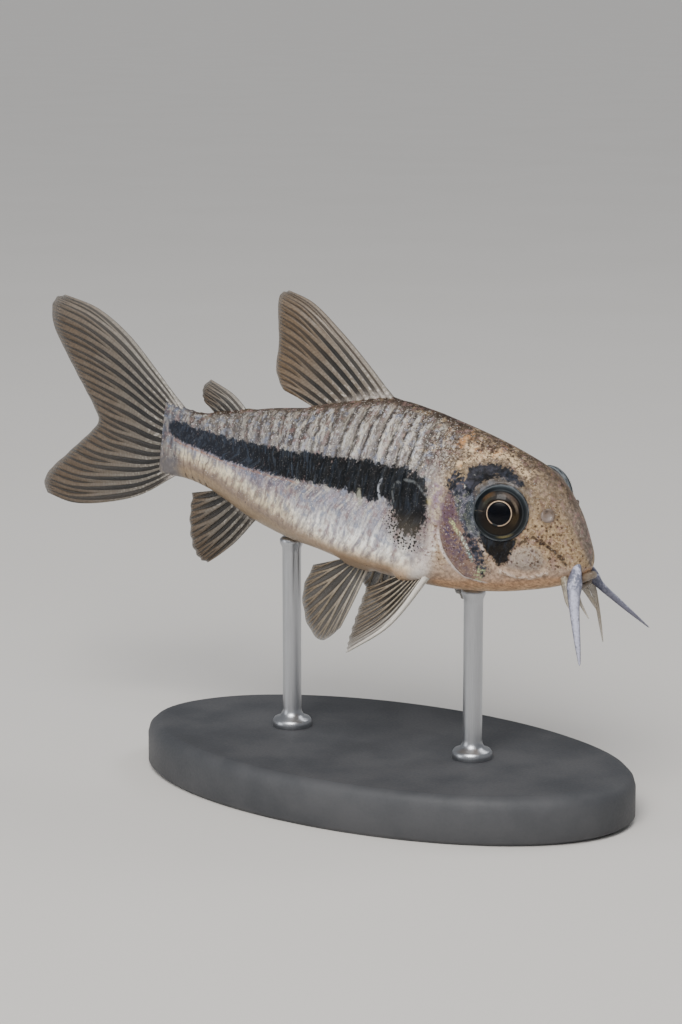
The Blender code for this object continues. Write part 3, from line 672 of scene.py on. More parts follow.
def lay_gill_cover(f):
    """The gill cover with its violet sheen, the pale band behind it, and the pectoral fin's fleshy foot."""
    cover = f.mix(f.other.ease(0.42, 0.58), (88, 72, 84), (122, 98, 88))
    cover = f.mix(f.grain.ease(0.54, 0.7) * f.middling.ease(0.42, 0.56) * 0.7, cover, (186, 164, 152))
    f.paint(f.fact("gill_cover").ease(0.2, 0.9) * (0.2 + 1.2 * f.fine).clamped(), cover)
    violet = f.fact("violet").ease(0.1, 0.9) * (f.other * 0.5 + f.fine * 0.5).ease(0.4, 0.54)
    f.paint(violet * 0.75, (76, 56, 80))
    band = f.mix(f.other.ease(0.44, 0.56), (206, 190, 168), (146, 126, 150))
    band = f.mix(f.around.ease(0.42, 0.5), band, (228, 218, 214))
    band = f.mix(f.blotches.ease(0.5, 0.62) * 0.85, band, (128, 104, 112))
    f.paint((f.fact("pale_band") * (-0.3 + 2.0 * f.fine)).clamped() * 0.85, band)
    f.paint(f.fact("fin_foot") * (0.4 + 0.8 * f.fine), (208, 202, 196))
    f.paint(f.fact("gill_margin").ease(0.15, 0.8) * 0.9 * f.fine.ease(0.3, 0.44), (228, 216, 212))


def lay_face_lines(f):
    """Cheek, jaw line, the gold arch over the eye, and the pink line under the flank's stripe."""
    f.paint(f.fact("cheek").ease(0.1, 0.9) * (0.2 + 0.6 * f.fine), (152, 148, 146))
    f.paint(f.fact("jaw_line").ease(0.2, 0.9) * f.fine.ease(0.42, 0.56) * 0.6, (222, 208, 196))
    arch = f.fact("gold_arch").ease(0.2, 0.8) * (f.fine * 0.6 + f.grain * 0.4).ease(0.45, 0.55)
    f.paint(arch * 0.85, (222, 194, 156))
    f.paint(f.fact("pink_line").ease(0.35, 0.95) * f.fine.ease(0.3, 0.55) * 0.75, (160, 116, 90))


def lay_specks(f):
    """Brown specks on the head, painted shade round the foot of each nostril pad, and the groove from eye to
    mouth.
    """
    specks = f.fact("speckle") * (0.4 + 1.2 * f.middling)
    f.paint((specks - f.blotches.ease(0.74, 0.34)).ease(-0.1, 0.15) * 0.6, (98, 72, 52))
    f.paint(((specks * 0.85 - f.cells(0.36 * MM, f.shifted)) * 6).clamped() * 0.8, (58, 40, 30))
    # A thin ring of painted shade where each nostril pad meets the skin.
    f.paint(f.fact("nostril_edge") * f.fine.ease(0.3, 0.55) * 0.7, (70, 54, 46))
    f.paint((f.fact("groove") + (f.fine - 0.5) * 1.8).ease(0.5, 0.95) * 0.85, (44, 30, 22))


def lay_eye_surround(f):
    """The blue-grey patch behind the eye, and the dusk round the eye's rear edge."""
    slate = f.mix(f.other.ease(0.42, 0.58), (64, 72, 84), (112, 110, 122))
    slate = f.mix(f.middling.ease(0.5, 0.6) * 0.75, slate, (98, 104, 84))
    slate = f.mix(f.blotches.ease(0.48, 0.6) * 0.8, slate, (38, 38, 56))
    slate = f.mix(f.grain.ease(0.58, 0.7) * 0.8, slate, (168, 166, 172))
    f.paint((f.fact("blue_grey") + (f.fine - 0.5) * 0.8).ease(0.3, 0.8) * 0.9, slate)
    edge = f.fact("eye_gap").ease(1.1, 0.2) * f.fact("eye_rear")
    dusk = f.mix(f.other.ease(0.4, 0.6), (44, 52, 62), (94, 102, 112))
    f.paint(edge * (0.3 + 1.0 * f.fine).clamped(), dusk)


def lay_black(f):
    """The stripe, the blot and the eye mask, frayed into dots at their edges. Gives how black a place is."""
    slate = f.fact("slate")
    fray = (f.fine - 0.5) * (0.7 + 0.4 * f.trunk) + (f.streaks - 0.5) * 1.6 * f.trunk
    fray = fray + (f.middling - 0.5) * 0.6
    frayed = f.fact("black") + fray + (f.blotches - 0.5) * (0.7 + 1.1 * slate)
    loose = f.fact("loose_dots")
    f.paint((loose * 2.0 - 0.3 + (f.fine - 0.5) * 1.2).clamped() * 0.6, (126, 112, 100))
    dots = ((loose * (0.5 + 1.0 * f.middling) - f.cells(0.22 * MM, f.here)) * 6).clamped()
    black = frayed.ease(0.34, 0.74).largest(dots)
    ink = f.mix(f.streaks.ease(0.46, 0.7) * (0.35 + 0.4 * f.station.ease(44, 80)), (8, 12, 16), (54, 64, 78))
    ink = f.mix(f.station.ease(60, 90) * 0.35, ink, (50, 54, 66))
    ink = f.mix(f.fact("blot_foot") * (0.3 + 0.7 * f.other), ink, (74, 68, 58))
    slatey = f.mix(f.other.ease(0.4, 0.6), (36, 40, 48), (84, 86, 100))
    ink = f.mix((slate * (0.2 + 1.0 * f.fine)).clamped(), ink, slatey)
    f.paint(black * 0.97, ink)
    return black


def lay_bright_flecks(f, plain):
    """Bright marks that lie over the dark, and glints of the skin's grain on what is plain."""
    f.paint(f.fact("bright_mark").ease(0.1, 0.7) * f.fine.ease(0.34, 0.5) * 0.75, (170, 174, 182))
    f.paint((f.fact("light_notch") + (f.fine - 0.5) * 0.9).ease(0.45, 0.85) * 0.75, (150, 150, 136))
    f.paint(f.fact("blot_arc").ease(0.3, 0.9) * 0.5 * f.fine.ease(0.3, 0.5), (120, 124, 126))
    f.paint(f.fact("streak_shade").ease(0.1, 0.9) * f.fine.ease(0.4, 0.54) * 0.75, (52, 50, 84))
    sheen = f.mix(f.station.ease(20.5, 23.5), (134, 176, 170), (206, 214, 150))
    sheen = f.mix(f.middling.ease(0.5, 0.6) * 0.8, sheen, (222, 228, 216))
    bead = f.cells(0.17 * MM, f.here).ease(0.62, 0.3) * f.grain.ease(0.4, 0.52)
    f.paint(f.fact("streak").ease(0.15, 0.7) * (0.12 + 0.88 * bead), sheen)
    teal = f.fact("green_patch").ease(0.1, 0.8) * f.cells(0.26 * MM, f.shifted).ease(0.6, 0.3)
    f.paint(teal * 0.8, (176, 194, 140))
    f.paint((f.fact("sparkles") + (f.grain - 0.5) * 1.2).ease(0.4, 0.8) * 0.85, (222, 222, 216))
    f.paint(f.fact("yellow_spot") * f.fine.ease(0.3, 0.5), (222, 208, 140))
    glint = ((f.grain - 0.62) * 9).clamped() * (0.1 + 0.9 * plain) * (0.25 + 0.6 * f.trunk + 0.3 * f.marbled)
    f.paint((glint * f.around.ease(0.72, 0.6)).clamped(), (240, 236, 230))


def skin_finish():
    """The armoured skin, layer over layer, with a silver gloss on the flank where it isn't black."""
    f = SkinFinish()
    for lay in (lay_ground, lay_streaks, lay_patches, lay_scutes, lay_gill_cover, lay_face_lines, lay_specks):
        lay(f)
    lay_eye_surround(f)
    plain = 1 - lay_black(f)
    lay_bright_flecks(f, plain)
    silver = f.trunk * plain * f.around.ease(0.1, 0.25)
    f.feed(base_color=f.colour, metallic=silver * 0.2, roughness=0.52 - silver * 0.12 + (f.grain - 0.5) * 0.2)
    relief = f.fine * (0.6 - 0.45 * f.trunk) + f.grain * (0.35 - 0.2 * f.trunk)
    relief = relief + f.streaks * f.scuted * 0.8 - f.worms * 0.3
    coat = (0.08 + 0.35 * f.fine) * plain * f.around.ease(0.02, 0.14)
    f.feed(coat_weight=coat, normal=f.bump(relief, 0.06 * MM, 0.65))
    return f.material


# How far apart the joints of a fin's rays are, in mm.
JOINTS_APART = 0.3


def fin_finish(name, ray_root, ray_tip, gap_root, gap_tip, gap_alpha):
    """A fin: pale jointed rays, wide at the root and forked further out, with dusky clear skin between them.
    gap_alpha is how little shows through that skin."""
    f = Finish(name, roughness=0.4, coat_weight=0.15, coat_roughness=0.25, specular_ior_level=0.3)
    ray, out, flesh = f.fact("ray"), f.fact("out"), f.fact("flesh")
    fine, coarse = f.noise(0.22 * MM, 3), f.noise(1.2 * MM, 2)
    joints = (f.fact("length") * (2 * math.pi / JOINTS_APART)).wave().ease(-0.2, 0.9)
    f.colour = f.mix((out + (coarse - 0.5) * 0.5).ease(0.15, 0.95), ray_root, ray_tip)
    f.colour = f.blend("MULTIPLY", joints * 0.4 * out.ease(0.05, 0.2), f.colour, (0.66, 0.62, 0.58))
    f.mottle(0.8, fine.ease(0.3, 0.7), (0.78, 0.76, 0.74), (1.2, 1.2, 1.2))
    f.paint(((fine - 0.56) * 9).clamped() * out.ease(0.5, 0.0) * 0.7, (232, 226, 216))
    gaps = f.mix(f.fact("blade") * (0.75 + 0.5 * coarse), gap_tip, gap_root)
    f.colour = f.mix(ray.ease(0.1, 0.8), gaps, f.colour)
    f.paint(flesh * 0.75, f.mix(fine.ease(0.4, 0.6), (134, 126, 118), (206, 198, 190)))
    f.paint((f.fact("spine") * (0.6 + 0.7 * fine)).clamped(), (222, 217, 208))
    cover = (ray.ease(0.1, 0.7) * (1.1 - out * 0.3)).clamped().largest(flesh)
    cover = gap_alpha + (0.96 - gap_alpha) * cover
    f.feed(base_color=f.colour, alpha=(cover * out.ease(1.14, 0.88) + (coarse - 0.5) * 0.1).clamped())
    f.feed(normal=f.bump(ray + fine * 0.25 + joints * ray * 0.15, 0.05 * MM))
    return f.material


# The eye's rings, from the middle out: dark pupil, thin gold ring, dark iris and the grey-blue band round it.
# The pale line at 0.97 is partly the band's own colour and partly a painted reflection of the cornea's rim.
EYE_TONES = [
    (0.00, 2, 3, 8), (0.36, 2, 4, 12), (0.412, 2, 3, 7), (0.428, 200, 178, 156), (0.446, 208, 180, 150),
    (0.461, 26, 19, 14), (0.60, 24, 19, 16), (0.78, 20, 20, 21), (0.82, 60, 64, 67), (0.85, 30, 34, 38),
    (0.92, 50, 56, 60), (0.95, 86, 92, 96), (0.97, 126, 132, 136), (1.00, 88, 92, 94),
]
# Warm flecks in the iris: angle and half the angle it spans, in radians, inner and outer reach, and colour.
EYE_FLECKS = (
    (2.3, 0.5, 0.64, 0.78, (92, 71, 50)), (2.5, 0.6, 0.56, 0.66, (60, 60, 52)),
    (1.1, 0.8, 0.62, 0.74, (88, 75, 66)), (0.55, 0.6, 0.60, 0.66, (116, 104, 90)),
    (-0.25, 0.6, 0.50, 0.68, (72, 59, 38)), (-1.22, 0.45, 0.83, 0.88, (150, 140, 98)),
    (-1.3, 1.4, 0.52, 0.74, (46, 38, 27)),
)
# Where round the eye the gold ring is broken, and where the band is duskiest, in radians.
RING_BREAK = -1.78
DUSKY_SIDE = 3.0


def eye_finish():
    """Pupil, gold ring with a break in it, iris with its flecks, and the band, duskier on its rear side."""
    f = Finish("eye_iris", coat_weight=0.2, coat_roughness=0.08, specular_ior_level=0.06)
    turn = f.fact("turn")
    fine, middling = f.noise(0.14 * MM, 3), f.noise(0.7 * MM, 2)
    ring = f.fact("reach") + (fine - 0.5) * 0.014 + (middling - 0.5) * 0.014
    f.colour = f.ramp(ring, EYE_TONES)
    broken = turn.angle_off(RING_BREAK).ease(0.34, 0.16) * ring.ease(0.48, 0.46) * ring.ease(0.40, 0.42)
    f.paint(broken, (34, 42, 48))
    dusky = turn.angle_off(DUSKY_SIDE).ease(1.3, 0.7) * ring.ease(0.74, 0.8) * ring.ease(0.95, 0.92)
    f.paint(dusky, (16, 21, 25))
    for spot, spread, inner, outer, shade in EYE_FLECKS:
        fleck = turn.angle_off(spot).ease(spread, spread * 0.2) * ring.ease(inner - 0.04, inner + 0.02)
        fleck = fleck * ring.ease(outer + 0.04, outer - 0.01) * (0.3 + 1.0 * fine).clamped()
        f.paint(fleck * 0.9, shade)
    f.feed(base_color=f.colour, roughness=0.3 + 0.2 * fine)
    return f.material


def cornea_finish():
    """The clear dome over the eye: see-through from the front, with a wet gloss where it is seen aslant."""
    f = Finish(
        "eye_cornea", base_color=(0.9, 0.93, 0.96, 1.0), metallic=1.0, roughness=0.03, specular_ior_level=1.0
    )
    clear = f.node("ShaderNodeBsdfTransparent")
    gloss = f.node("ShaderNodeFresnel", None, {"IOR": 1.38})
    share = (gloss * (0.48 + 0.04 * f.noise(0.4 * MM)) - 0.06).clamped()
    both = f.node("ShaderNodeMixShader", None, {0: share, 1: clear, 2: Value(f, f.shader.outputs[0])})
    f.tree.links.new(both.socket, f.tree.nodes["Material Output"].inputs[0])
    return f.material


def flesh_finish(name, colour, light, dark, cover=None):
    """Soft wet flesh with pale and dark blotches, for lips, nostril flaps and the eye's rim. cover is how
    little shows through it, where something does."""
    f = Finish(name, coat_roughness=0.15, specular_ior_level=0.35)
    broad, fine = f.noise(0.75 * MM, 2), f.noise(0.2 * MM, 3)
    f.colour = f.mix(broad.ease(0.42, 0.62), colour, light)
    f.paint(broad.ease(0.46, 0.34) * fine.ease(0.35, 0.55), dark)
    f.feed(base_color=f.colour, roughness=0.35 + 0.2 * fine, coat_weight=0.25 + 0.3 * broad)
    f.feed(normal=f.bump(fine + broad * 0.5, 0.03 * MM))
    if cover:
        f.feed(alpha=(cover + (fine - 0.5) * 0.2).clamped())
    return f.material


def barbel_finish(name, core, edge, dark, cover=1.0):
    """A barbel: translucent flesh with a painted highlight along the side that faces out and forward, painted
    shade away from it, and dusky blotches at its root. It is densest along that highlight and at the root,
    and clearest at the tip."""
    f = Finish(name, coat_roughness=0.15, specular_ior_level=0.3)
    broad, fine = f.noise(0.7 * MM, 2), f.noise(0.2 * MM, 3)
    along = f.fact("along")
    # bright is the painted highlight on the side facing out and forward. edge is the painted shade away from
    # it.
    bright = (f.fact("core") + (fine - 0.5) * 0.7).ease(0.62, 1.05)
    f.colour = f.mix(bright, edge, core)
    f.paint(along.ease(0.75, 0.3) * broad.ease(0.6, 0.5) * fine.ease(0.36, 0.52) * 0.75, dark)
    f.feed(base_color=f.colour, roughness=0.35 + 0.2 * fine, coat_weight=0.2 + 0.3 * bright)
    f.feed(normal=f.bump(fine + broad * 0.5, 0.03 * MM))
    thick = cover + (1 - cover) * bright * 0.5 + along.ease(0.2, 0.0) * 0.3 - along.ease(0.7, 1.0) * 0.25
    f.feed(alpha=thick.clamped())
    return f.material


def slate_finish():
    f = Finish("stand_slate")
    broad, fine = f.noise(5 * MM, 4), f.noise(0.25 * MM, 3)
    f.feed(base_color=f.mix(broad.ease(0.3, 0.7), (62, 64, 68), (78, 79, 82)))
    f.feed(roughness=0.5 + 0.25 * fine, normal=f.bump(fine + broad * 0.6, 0.04 * MM))
    return f.material


def steel_finish():
    """Steel, brushed along the rods."""
    f = Finish("stand_steel", metallic=1.0)
    brushed = f.noise(0.08 * MM, 2, vector=f.mapped(f.where(), Scale=(1.0, 1.0, 0.04)))
    f.feed(base_color=f.mix(brushed, (168, 170, 174), (196, 198, 202)))
    f.feed(roughness=0.26 + 0.14 * brushed, normal=f.bump(brushed, 0.01 * MM, 0.4))
    return f.material


# Skin


def scute_lean(station, angle):
    """How far a scute's edge leans back from upright, in per cent, above and below the flank's seam."""
    below = np.maximum(0.0, np.abs(angle) - LATERAL_ANGLE)
    rearward = np.clip((station - FIRST_SCUTE) / (LAST_SCUTE - FIRST_SCUTE), 0.0, 1.0)
    slant = LOWER_LEAN * (1 - 0.6 * rearward) * np.sin(below / (math.pi - LATERAL_ANGLE) * math.pi / 2)
    above = np.maximum(0.0, LATERAL_ANGLE - np.abs(angle)) / LATERAL_ANGLE
    upper = UPPER_LEAN * ease(station, UPPER_LEAN_FROM, UPPER_LEAN_FULL) * np.sin(above * math.pi / 2)
    return slant + upper + ROW_OFFSET * np.minimum(1.0, below / 0.12)


def scute_waver(turn):
    """How far each scute's rear edge strays fore and aft round the body, in per cent, a row for each edge."""
    random = np.random.default_rng(11)
    strays = np.zeros((SCUTES + 1, turn.shape[1]))
    for beats in (3, 7, 13, 23, 37):
        size = SCUTE_WAVER / beats**0.5
        strays += size * random.uniform(0.4, 1, (SCUTES + 1, 1)) * np.sin(
            beats * turn[:1] + random.uniform(0, 2 * math.pi, (SCUTES + 1, 1))
        )
    return strays


def skin_rings():
    """One row for each ring of the skin: station, how far it follows the scutes' lean, phase along its scute,
    distance to the nearest scute edge, and the scute's number."""
    rows = []
    pitch = (LAST_SCUTE - FIRST_SCUTE) / (SCUTES - 1)
    start = FIRST_SCUTE - pitch
    for n in range(HEAD_RINGS):
        station = start * (n / HEAD_RINGS) ** 1.5
        rows.append((station, float(ease(station, 27.0, start)), 0.0, max(0.0, start - station), -1))
    for n in range(SCUTES):
        edge = FIRST_SCUTE + pitch * n
        upright = min(1.0, (SCUTES - 1 - n) / 4)
        front = edge - pitch + SCUTE_STEP
        for k in range(SCUTE_RINGS):
            share = k / (SCUTE_RINGS - 1)
            station = front + (edge - front) * (1 - (1 - share) ** 1.25)
            nearest = min(station - front, edge - station)
            rows.append((station, upright, (station - front) / (edge - front), nearest, n))
    for n in range(TAIL_RINGS):
        share = n / (TAIL_RINGS - 1)
        station = LAST_SCUTE + SCUTE_STEP + (TAIL_END - LAST_SCUTE - SCUTE_STEP) * share
        rows.append((station, 0.0, 0.0, station - LAST_SCUTE, SCUTES))
    return np.array(rows)


def outward_of(points):
    """The way out of a closed lattice's surface at each point."""
    wrapped = np.concatenate([points[:, -2:-1], points, points[:, 1:2]], axis=1)
    around = wrapped[:, 2:] - wrapped[:, :-2]
    along = np.gradient(points, axis=0)
    outward = np.cross(along, around)
    outward[0] = (1.0, 0.0, 0.0)
    outward /= np.maximum(np.linalg.norm(outward, axis=-1, keepdims=True), 1e-15)
    middle = points.mean(axis=1, keepdims=True)
    inward = ((points - middle) * outward).sum(axis=-1, keepdims=True) < 0
    return np.where(inward, -outward, outward)


def root_distance(skin, root):
    """How far points of the skin lie from the line on which a paired fin grows, in per cent."""
    first, last, start, end = root
    line = [(first, math.degrees(start) * DEGREE_WIDTH), (last, math.degrees(end) * DEGREE_WIDTH)]
    return line_distance(skin.s, np.degrees(skin.turn) * DEGREE_WIDTH, line)


class Skin:
    """The skin's lattice, one row a ring and one column a step round the body. s and h are each point's
    station and height, station is its ring's, and turn is its angle from the back."""

    def __init__(self):
        rings = skin_rings()
        shape = (len(rings), SKIN_COLUMNS + 1)
        self.rows = len(rings) - 1
        self.station, upright, self.phase, self.gap, scute = (
            np.broadcast_to(column[:, None], shape) for column in rings.T
        )
        self.angle = np.broadcast_to(np.linspace(-math.pi, math.pi, shape[1]), shape)
        self.turn = np.abs(self.angle)
        self.number = scute.astype(int) + 1
        waver, columns = scute_waver(self.turn), np.arange(shape[1])
        before = waver[np.clip(self.number - 1, 0, SCUTES), columns]
        self.waver = waver[np.clip(self.number, 0, SCUTES), columns]
        wavered = (before * (1 - self.phase) + self.waver * self.phase) * upright
        lean = upright * scute_lean(self.station, self.angle)
        self.measures = body(self.station + lean + wavered, self.angle)
        self.s, self.h = self.measures[..., 0], self.measures[..., 2]
        self.on_trunk = ease(self.station, 32.0, 34.0) * (1 - ease(self.station, 96.5, 98.5))
        above, below = LATERAL_ANGLE - self.turn, self.turn - LATERAL_ANGLE
        self.upper = ease(above, -0.01, LATERAL_SEAM) * ease(self.turn, BARE_BACK, BARE_BACK + 0.2)
        lower = ease(below, -0.01, LATERAL_SEAM) * ease(BARE_BELLY - self.turn, 0.0, 0.4)
        self.scuted = np.maximum(self.upper, lower) * self.on_trunk

    def inside(self, outline, soft):
        return inside(self.s, self.h, outline, soft)

    def beside(self, line, reach):
        return beside(self.s, self.h, line, reach)


def scute_relief(skin):
    """Each scute rises to its rear edge, less on the stripe and in the lower row."""
    profile = skin.phase**1.6 * (1 - 0.25 * ease(skin.phase, 0.9, 1.0))
    flatter = (1 - 0.75 * skin.inside(STRIPE, 1.2)) * (0.25 + 0.75 * skin.upper)
    return SCUTE_RISE * skin.scuted * profile * flatter * (0.8 + 1.6 * np.abs(skin.waver))


def head_relief(skin):
    """The raised gill cover with a gap behind it, shoulder, cheek, and the ridges and groove of the lines."""
    s, h = skin.s, skin.h
    gill = outline_distance(s, h, GILL_COVER)
    flap = 0.3 + 0.7 * (1 - ease(h, 0.0, 6.0))
    rise = GILL_RISE * flap * ease(-gill, 0.0, 0.5) * (0.3 + 0.7 * np.exp(np.minimum(gill, 0) / 3))
    rise -= GILL_GAP_DEPTH * flap * hump(gill - 0.5, 0.6) * ease(s, 17, 22)
    rise += SHOULDER_RISE * ease(-outline_distance(s, h, SHOULDER_BLOT), -0.5, 2.5)
    rise += CHEEK_RISE * ease(-outline_distance(s, h, PATCHES["cheek"][1]), -0.4, 1.6)
    for name, (height, width) in RIDGES.items():
        rise += height * hump(line_distance(s, h, LINES[name][1]), width)
    return rise


def fin_root_relief(skin):
    """Low sheaths of skin at the roots of the middle fins, and the fleshy root of each paired fin."""
    rise = 0.0
    for first, last, edge in FIN_SHEATHS:
        along = ease(skin.s, first - 1.5, first + 1) * (1 - ease(skin.s, last - 1, last + 1.5))
        rise = rise + SHEATH_RISE * along * hump(skin.turn - edge, SHEATH_WIDTH)
    for root, height in ROOT_RISES:
        rise = rise + height * hump(root_distance(skin, root), 1.5)
    return rise


def set_eye_socket(points, left):
    """Draws the skin up to the eye in a soft rim, and sinks it under the eye."""
    local, reach = eye_view(points, left)
    away = np.hypot(reach, local[..., 2])
    width, rim = EYE_RIMS[left]
    share = ease(away, EYE_RADIUS + 0.05 * MM, EYE_RADIUS + width)
    level = local[..., 2] * share + rim * (1 - share)
    sunk = -SOCKET_DEPTH * ease(EYE_RADIUS - 0.02 * MM - reach, 0.0, 0.3 * MM)
    local[..., 2] = level + sunk * (share < 1)
    return moved(local, eye_frame(left))


def eye_reach(points, left):
    """How far points lie outside the rim of an eye, in mm, and how far to the rear or above it they are."""
    local, reach = eye_view(points, left)
    outside = np.maximum(0, reach - EYE_RADIUS)
    gap = np.hypot(outside, np.maximum(0, np.abs(local[..., 2]) - 1.5 * MM)) / MM
    away = (points - np.array(eye_frame(left).translation)) / EYE_RADIUS
    rear = np.clip(0.55 - away[..., 0] * 0.45 + away[..., 2] * 0.3, 0, 1)
    return np.minimum(gap, 3.0), rear


def black_facts(skin):
    """How black the stripe, blot and eye mask are, how slate-blue the black is, and the blot's paler foot."""
    s, h = skin.s, skin.h
    lobe = np.sin(math.pi * skin.phase) ** 0.7
    lobe = lobe * np.random.default_rng(5).uniform(0.3, 1.3, SCUTES + 2)[skin.number]
    castle = np.where(h > 4.6, 0.4 * lobe * ease(s, 44, 56) - 0.1, 0.1 * lobe) * skin.on_trunk
    stripe = np.clip(0.5 - (outline_distance(s, h, STRIPE) - castle) / 1.2, 0, 1)
    arch, slate = skin.inside(EYE_ARCH, 1.6), skin.inside(SLATE, 2.0)
    behind, below = skin.inside(BEHIND_EYE, 2.6), skin.inside(BELOW_EYE, 2.0)
    blot = skin.inside(SHOULDER_BLOT, 2.8) * (0.5 + 0.66 * ease(h, -1.5, 5.0))
    blot = blot * (1 - 0.4 * ease(h, 9.2, 12.0))
    return {
        "black": np.max([stripe, blot, arch, behind * 0.8, below, slate * 0.72], axis=0),
        "slate": np.max([slate, arch * 0.45, behind], axis=0) * (1 - below),
        "blot_foot": skin.inside(SHOULDER_BLOT, 3.0) * (1 - ease(h, 0.5, 5.0)),
        "loose_dots": skin.inside(LOOSE_DOTS, 3.4) * 0.54,
    }


def head_facts(skin, points):
    """The marks of the head: gill cover, band, specks, and what lies round the eyes and nostrils."""
    s, h, turn = skin.s, skin.h, skin.turn
    margin = np.clip(1 - np.abs(outline_distance(s, h, GILL_COVER) - 0.15) / 0.75, 0, 1)
    away_from_band = (s - np.interp(h, *zip(*BAND_MIDDLE))) / np.interp(h, *zip(*BAND_WIDTH))
    head_specks = 0.34 * (1 - ease(s, 24, 33)) * (1 - ease(turn, 1.75, 2.05)) * ease(turn, 0.2, 0.8)
    mouth_specks = 0.22 * np.exp(-(((s - 6.0) / 3.4) ** 2) - (((h - 3.0) / 3.6) ** 2))
    (gap_left, rear_left), (gap_right, rear_right) = (eye_reach(points, left) for left in (True, False))
    nostrils = [np.array(skin_spot(*NOSTRIL, left)[0]) for left in (True, False)]
    from_nostril = np.min([np.linalg.norm(points - spot, axis=-1) for spot in nostrils], axis=0)
    gold, sparkles, yellow = (
        sum(hump(np.hypot(s - a, h - b), size) for a, b, size in group)
        for group in (GOLD_SPOTS, SPARKLES, YELLOW_SPOTS)
    )
    return {
        "gill_cover": skin.inside(GILL_COVER, 2.6) * ease(s, 14.5, 20.0),
        "gill_margin": margin * ease(s, 16, 18.5) * (1 - ease(h, 0, 5)),
        "violet": np.maximum(skin.inside(VIOLET, 3.0), skin.inside(SHOULDER_VIOLET, 3.0) * 0.8),
        "pale_band": hump(away_from_band, 1.0) * (1 - ease(h, 9, 15)),
        "speckle": head_specks + mouth_specks,
        "gold": np.clip(gold, 0, 1) + 0.15 * (1 - ease(s, 20, 30)),
        "sparkles": sparkles,
        "yellow_spot": yellow,
        "nostril_edge": hump(from_nostril - NOSTRIL_RADIUS, 0.09 * MM),
        "eye_gap": np.minimum(gap_left, gap_right),
        "eye_rear": np.where(gap_left < gap_right, rear_left, rear_right),
    }


def skin_facts(skin, points):
    """Everything that the skin's material needs to know at each point."""
    tints = np.random.default_rng(7).uniform(-0.6, 1.0, (2, SCUTES + 2))
    lower_row = (skin.turn > LATERAL_ANGLE).astype(int)
    unrolled = (skin.station * PER_CENT, skin.turn * 5 * MM, np.sign(skin.angle) * 10 * MM)
    return {
        "around": skin.turn / math.pi,
        "station": skin.s,
        "unrolled": np.stack(unrolled, axis=-1),
        "trunk": ease(skin.s, 26.0, 33.0),
        "scuted": skin.scuted,
        "upper_row": skin.upper,
        "scute_phase": skin.phase,
        "scute_gap": skin.gap,
        "scute_tint": tints[lower_row, skin.number],
        "fin_foot": hump(root_distance(skin, PECTORAL_ROOT), 1.1) * ease(33.5 - skin.s, 0.0, 3.0),
        "pink_line": skin.beside(PINK_LINE, 0.5) * ease(skin.s, 52, 60),
        **{name: skin.inside(outline, soft) for name, (soft, outline) in PATCHES.items()},
        **{name: skin.beside(line, reach) for name, (reach, line) in LINES.items()},
        **black_facts(skin),
        **head_facts(skin, points),
    }


def build_skin():
    """One skin over head, trunk and tail stem, raised along its outward way and sunk round the eyes."""
    skin = Skin()
    points = place(skin.measures)
    rise = scute_relief(skin) + head_relief(skin) + fin_root_relief(skin)
    points = points + outward_of(points) * rise[..., None]
    for left in (True, False):
        points = set_eye_socket(points, left)
    mesh = lattice_mesh(skin.rows, SKIN_COLUMNS, points, skin_facts(skin, points))
    close_mesh(mesh)
    piece("skin", mesh, skin_finish(), ("head", "trunk", "tail_stem"))


# Fins

# How wide a fin's membrane and its rays are at the root, and how much the flesh at the root adds.
MEMBRANE = 0.05 * MM
RAY_RISE = 0.17 * MM
FLESH_RISE = 0.35 * MM


def along_back(first, last, sunk=1.0, belly=False):
    """Four places along the middle of the back, or of the belly, a little under the skin."""
    column, way = (BELLY_COLUMN, 1) if belly else (BACK_COLUMN, -1)
    return [(s, 0.0, section(s)[column] + way * sunk) for s in np.linspace(first, last, 4)]


def flat(points):
    return [(station, 0.0, height) for station, height in points]


def mirrored(side, points):
    return [(station, side * out, height) for station, out, height in points]


def fin_feet(root, left, sunk=1.0):
    """Three places along a paired fin's root, a little under the skin."""
    first, last, start, end = root
    feet = []
    for share in (0.0, 0.5, 1.0):
        spot, outward = skin_spot(first + (last - first) * share, start + (end - start) * share, left)
        spot = (spot - outward * sunk * PER_CENT) / PER_CENT
        feet.append((-spot.x, spot.y, spot.z))
    return feet


def fin_sheet(root, tip, lead, trail, across, out):
    """Places on the smooth sheet between a fin's four edges."""
    a, o = across[..., None], out[..., None]
    first, last, first_tip, last_tip = (np.asarray(c, float) for c in (root[0], root[-1], tip[0], tip[-1]))
    return (
        (1 - o) * smooth_curve(root, across) + o * smooth_curve(tip, across)
        + (1 - a) * smooth_curve(lead, out) + a * smooth_curve(trail, out)
        - (1 - o) * ((1 - a) * first + a * last) - o * ((1 - a) * first_tip + a * last_tip)
    )


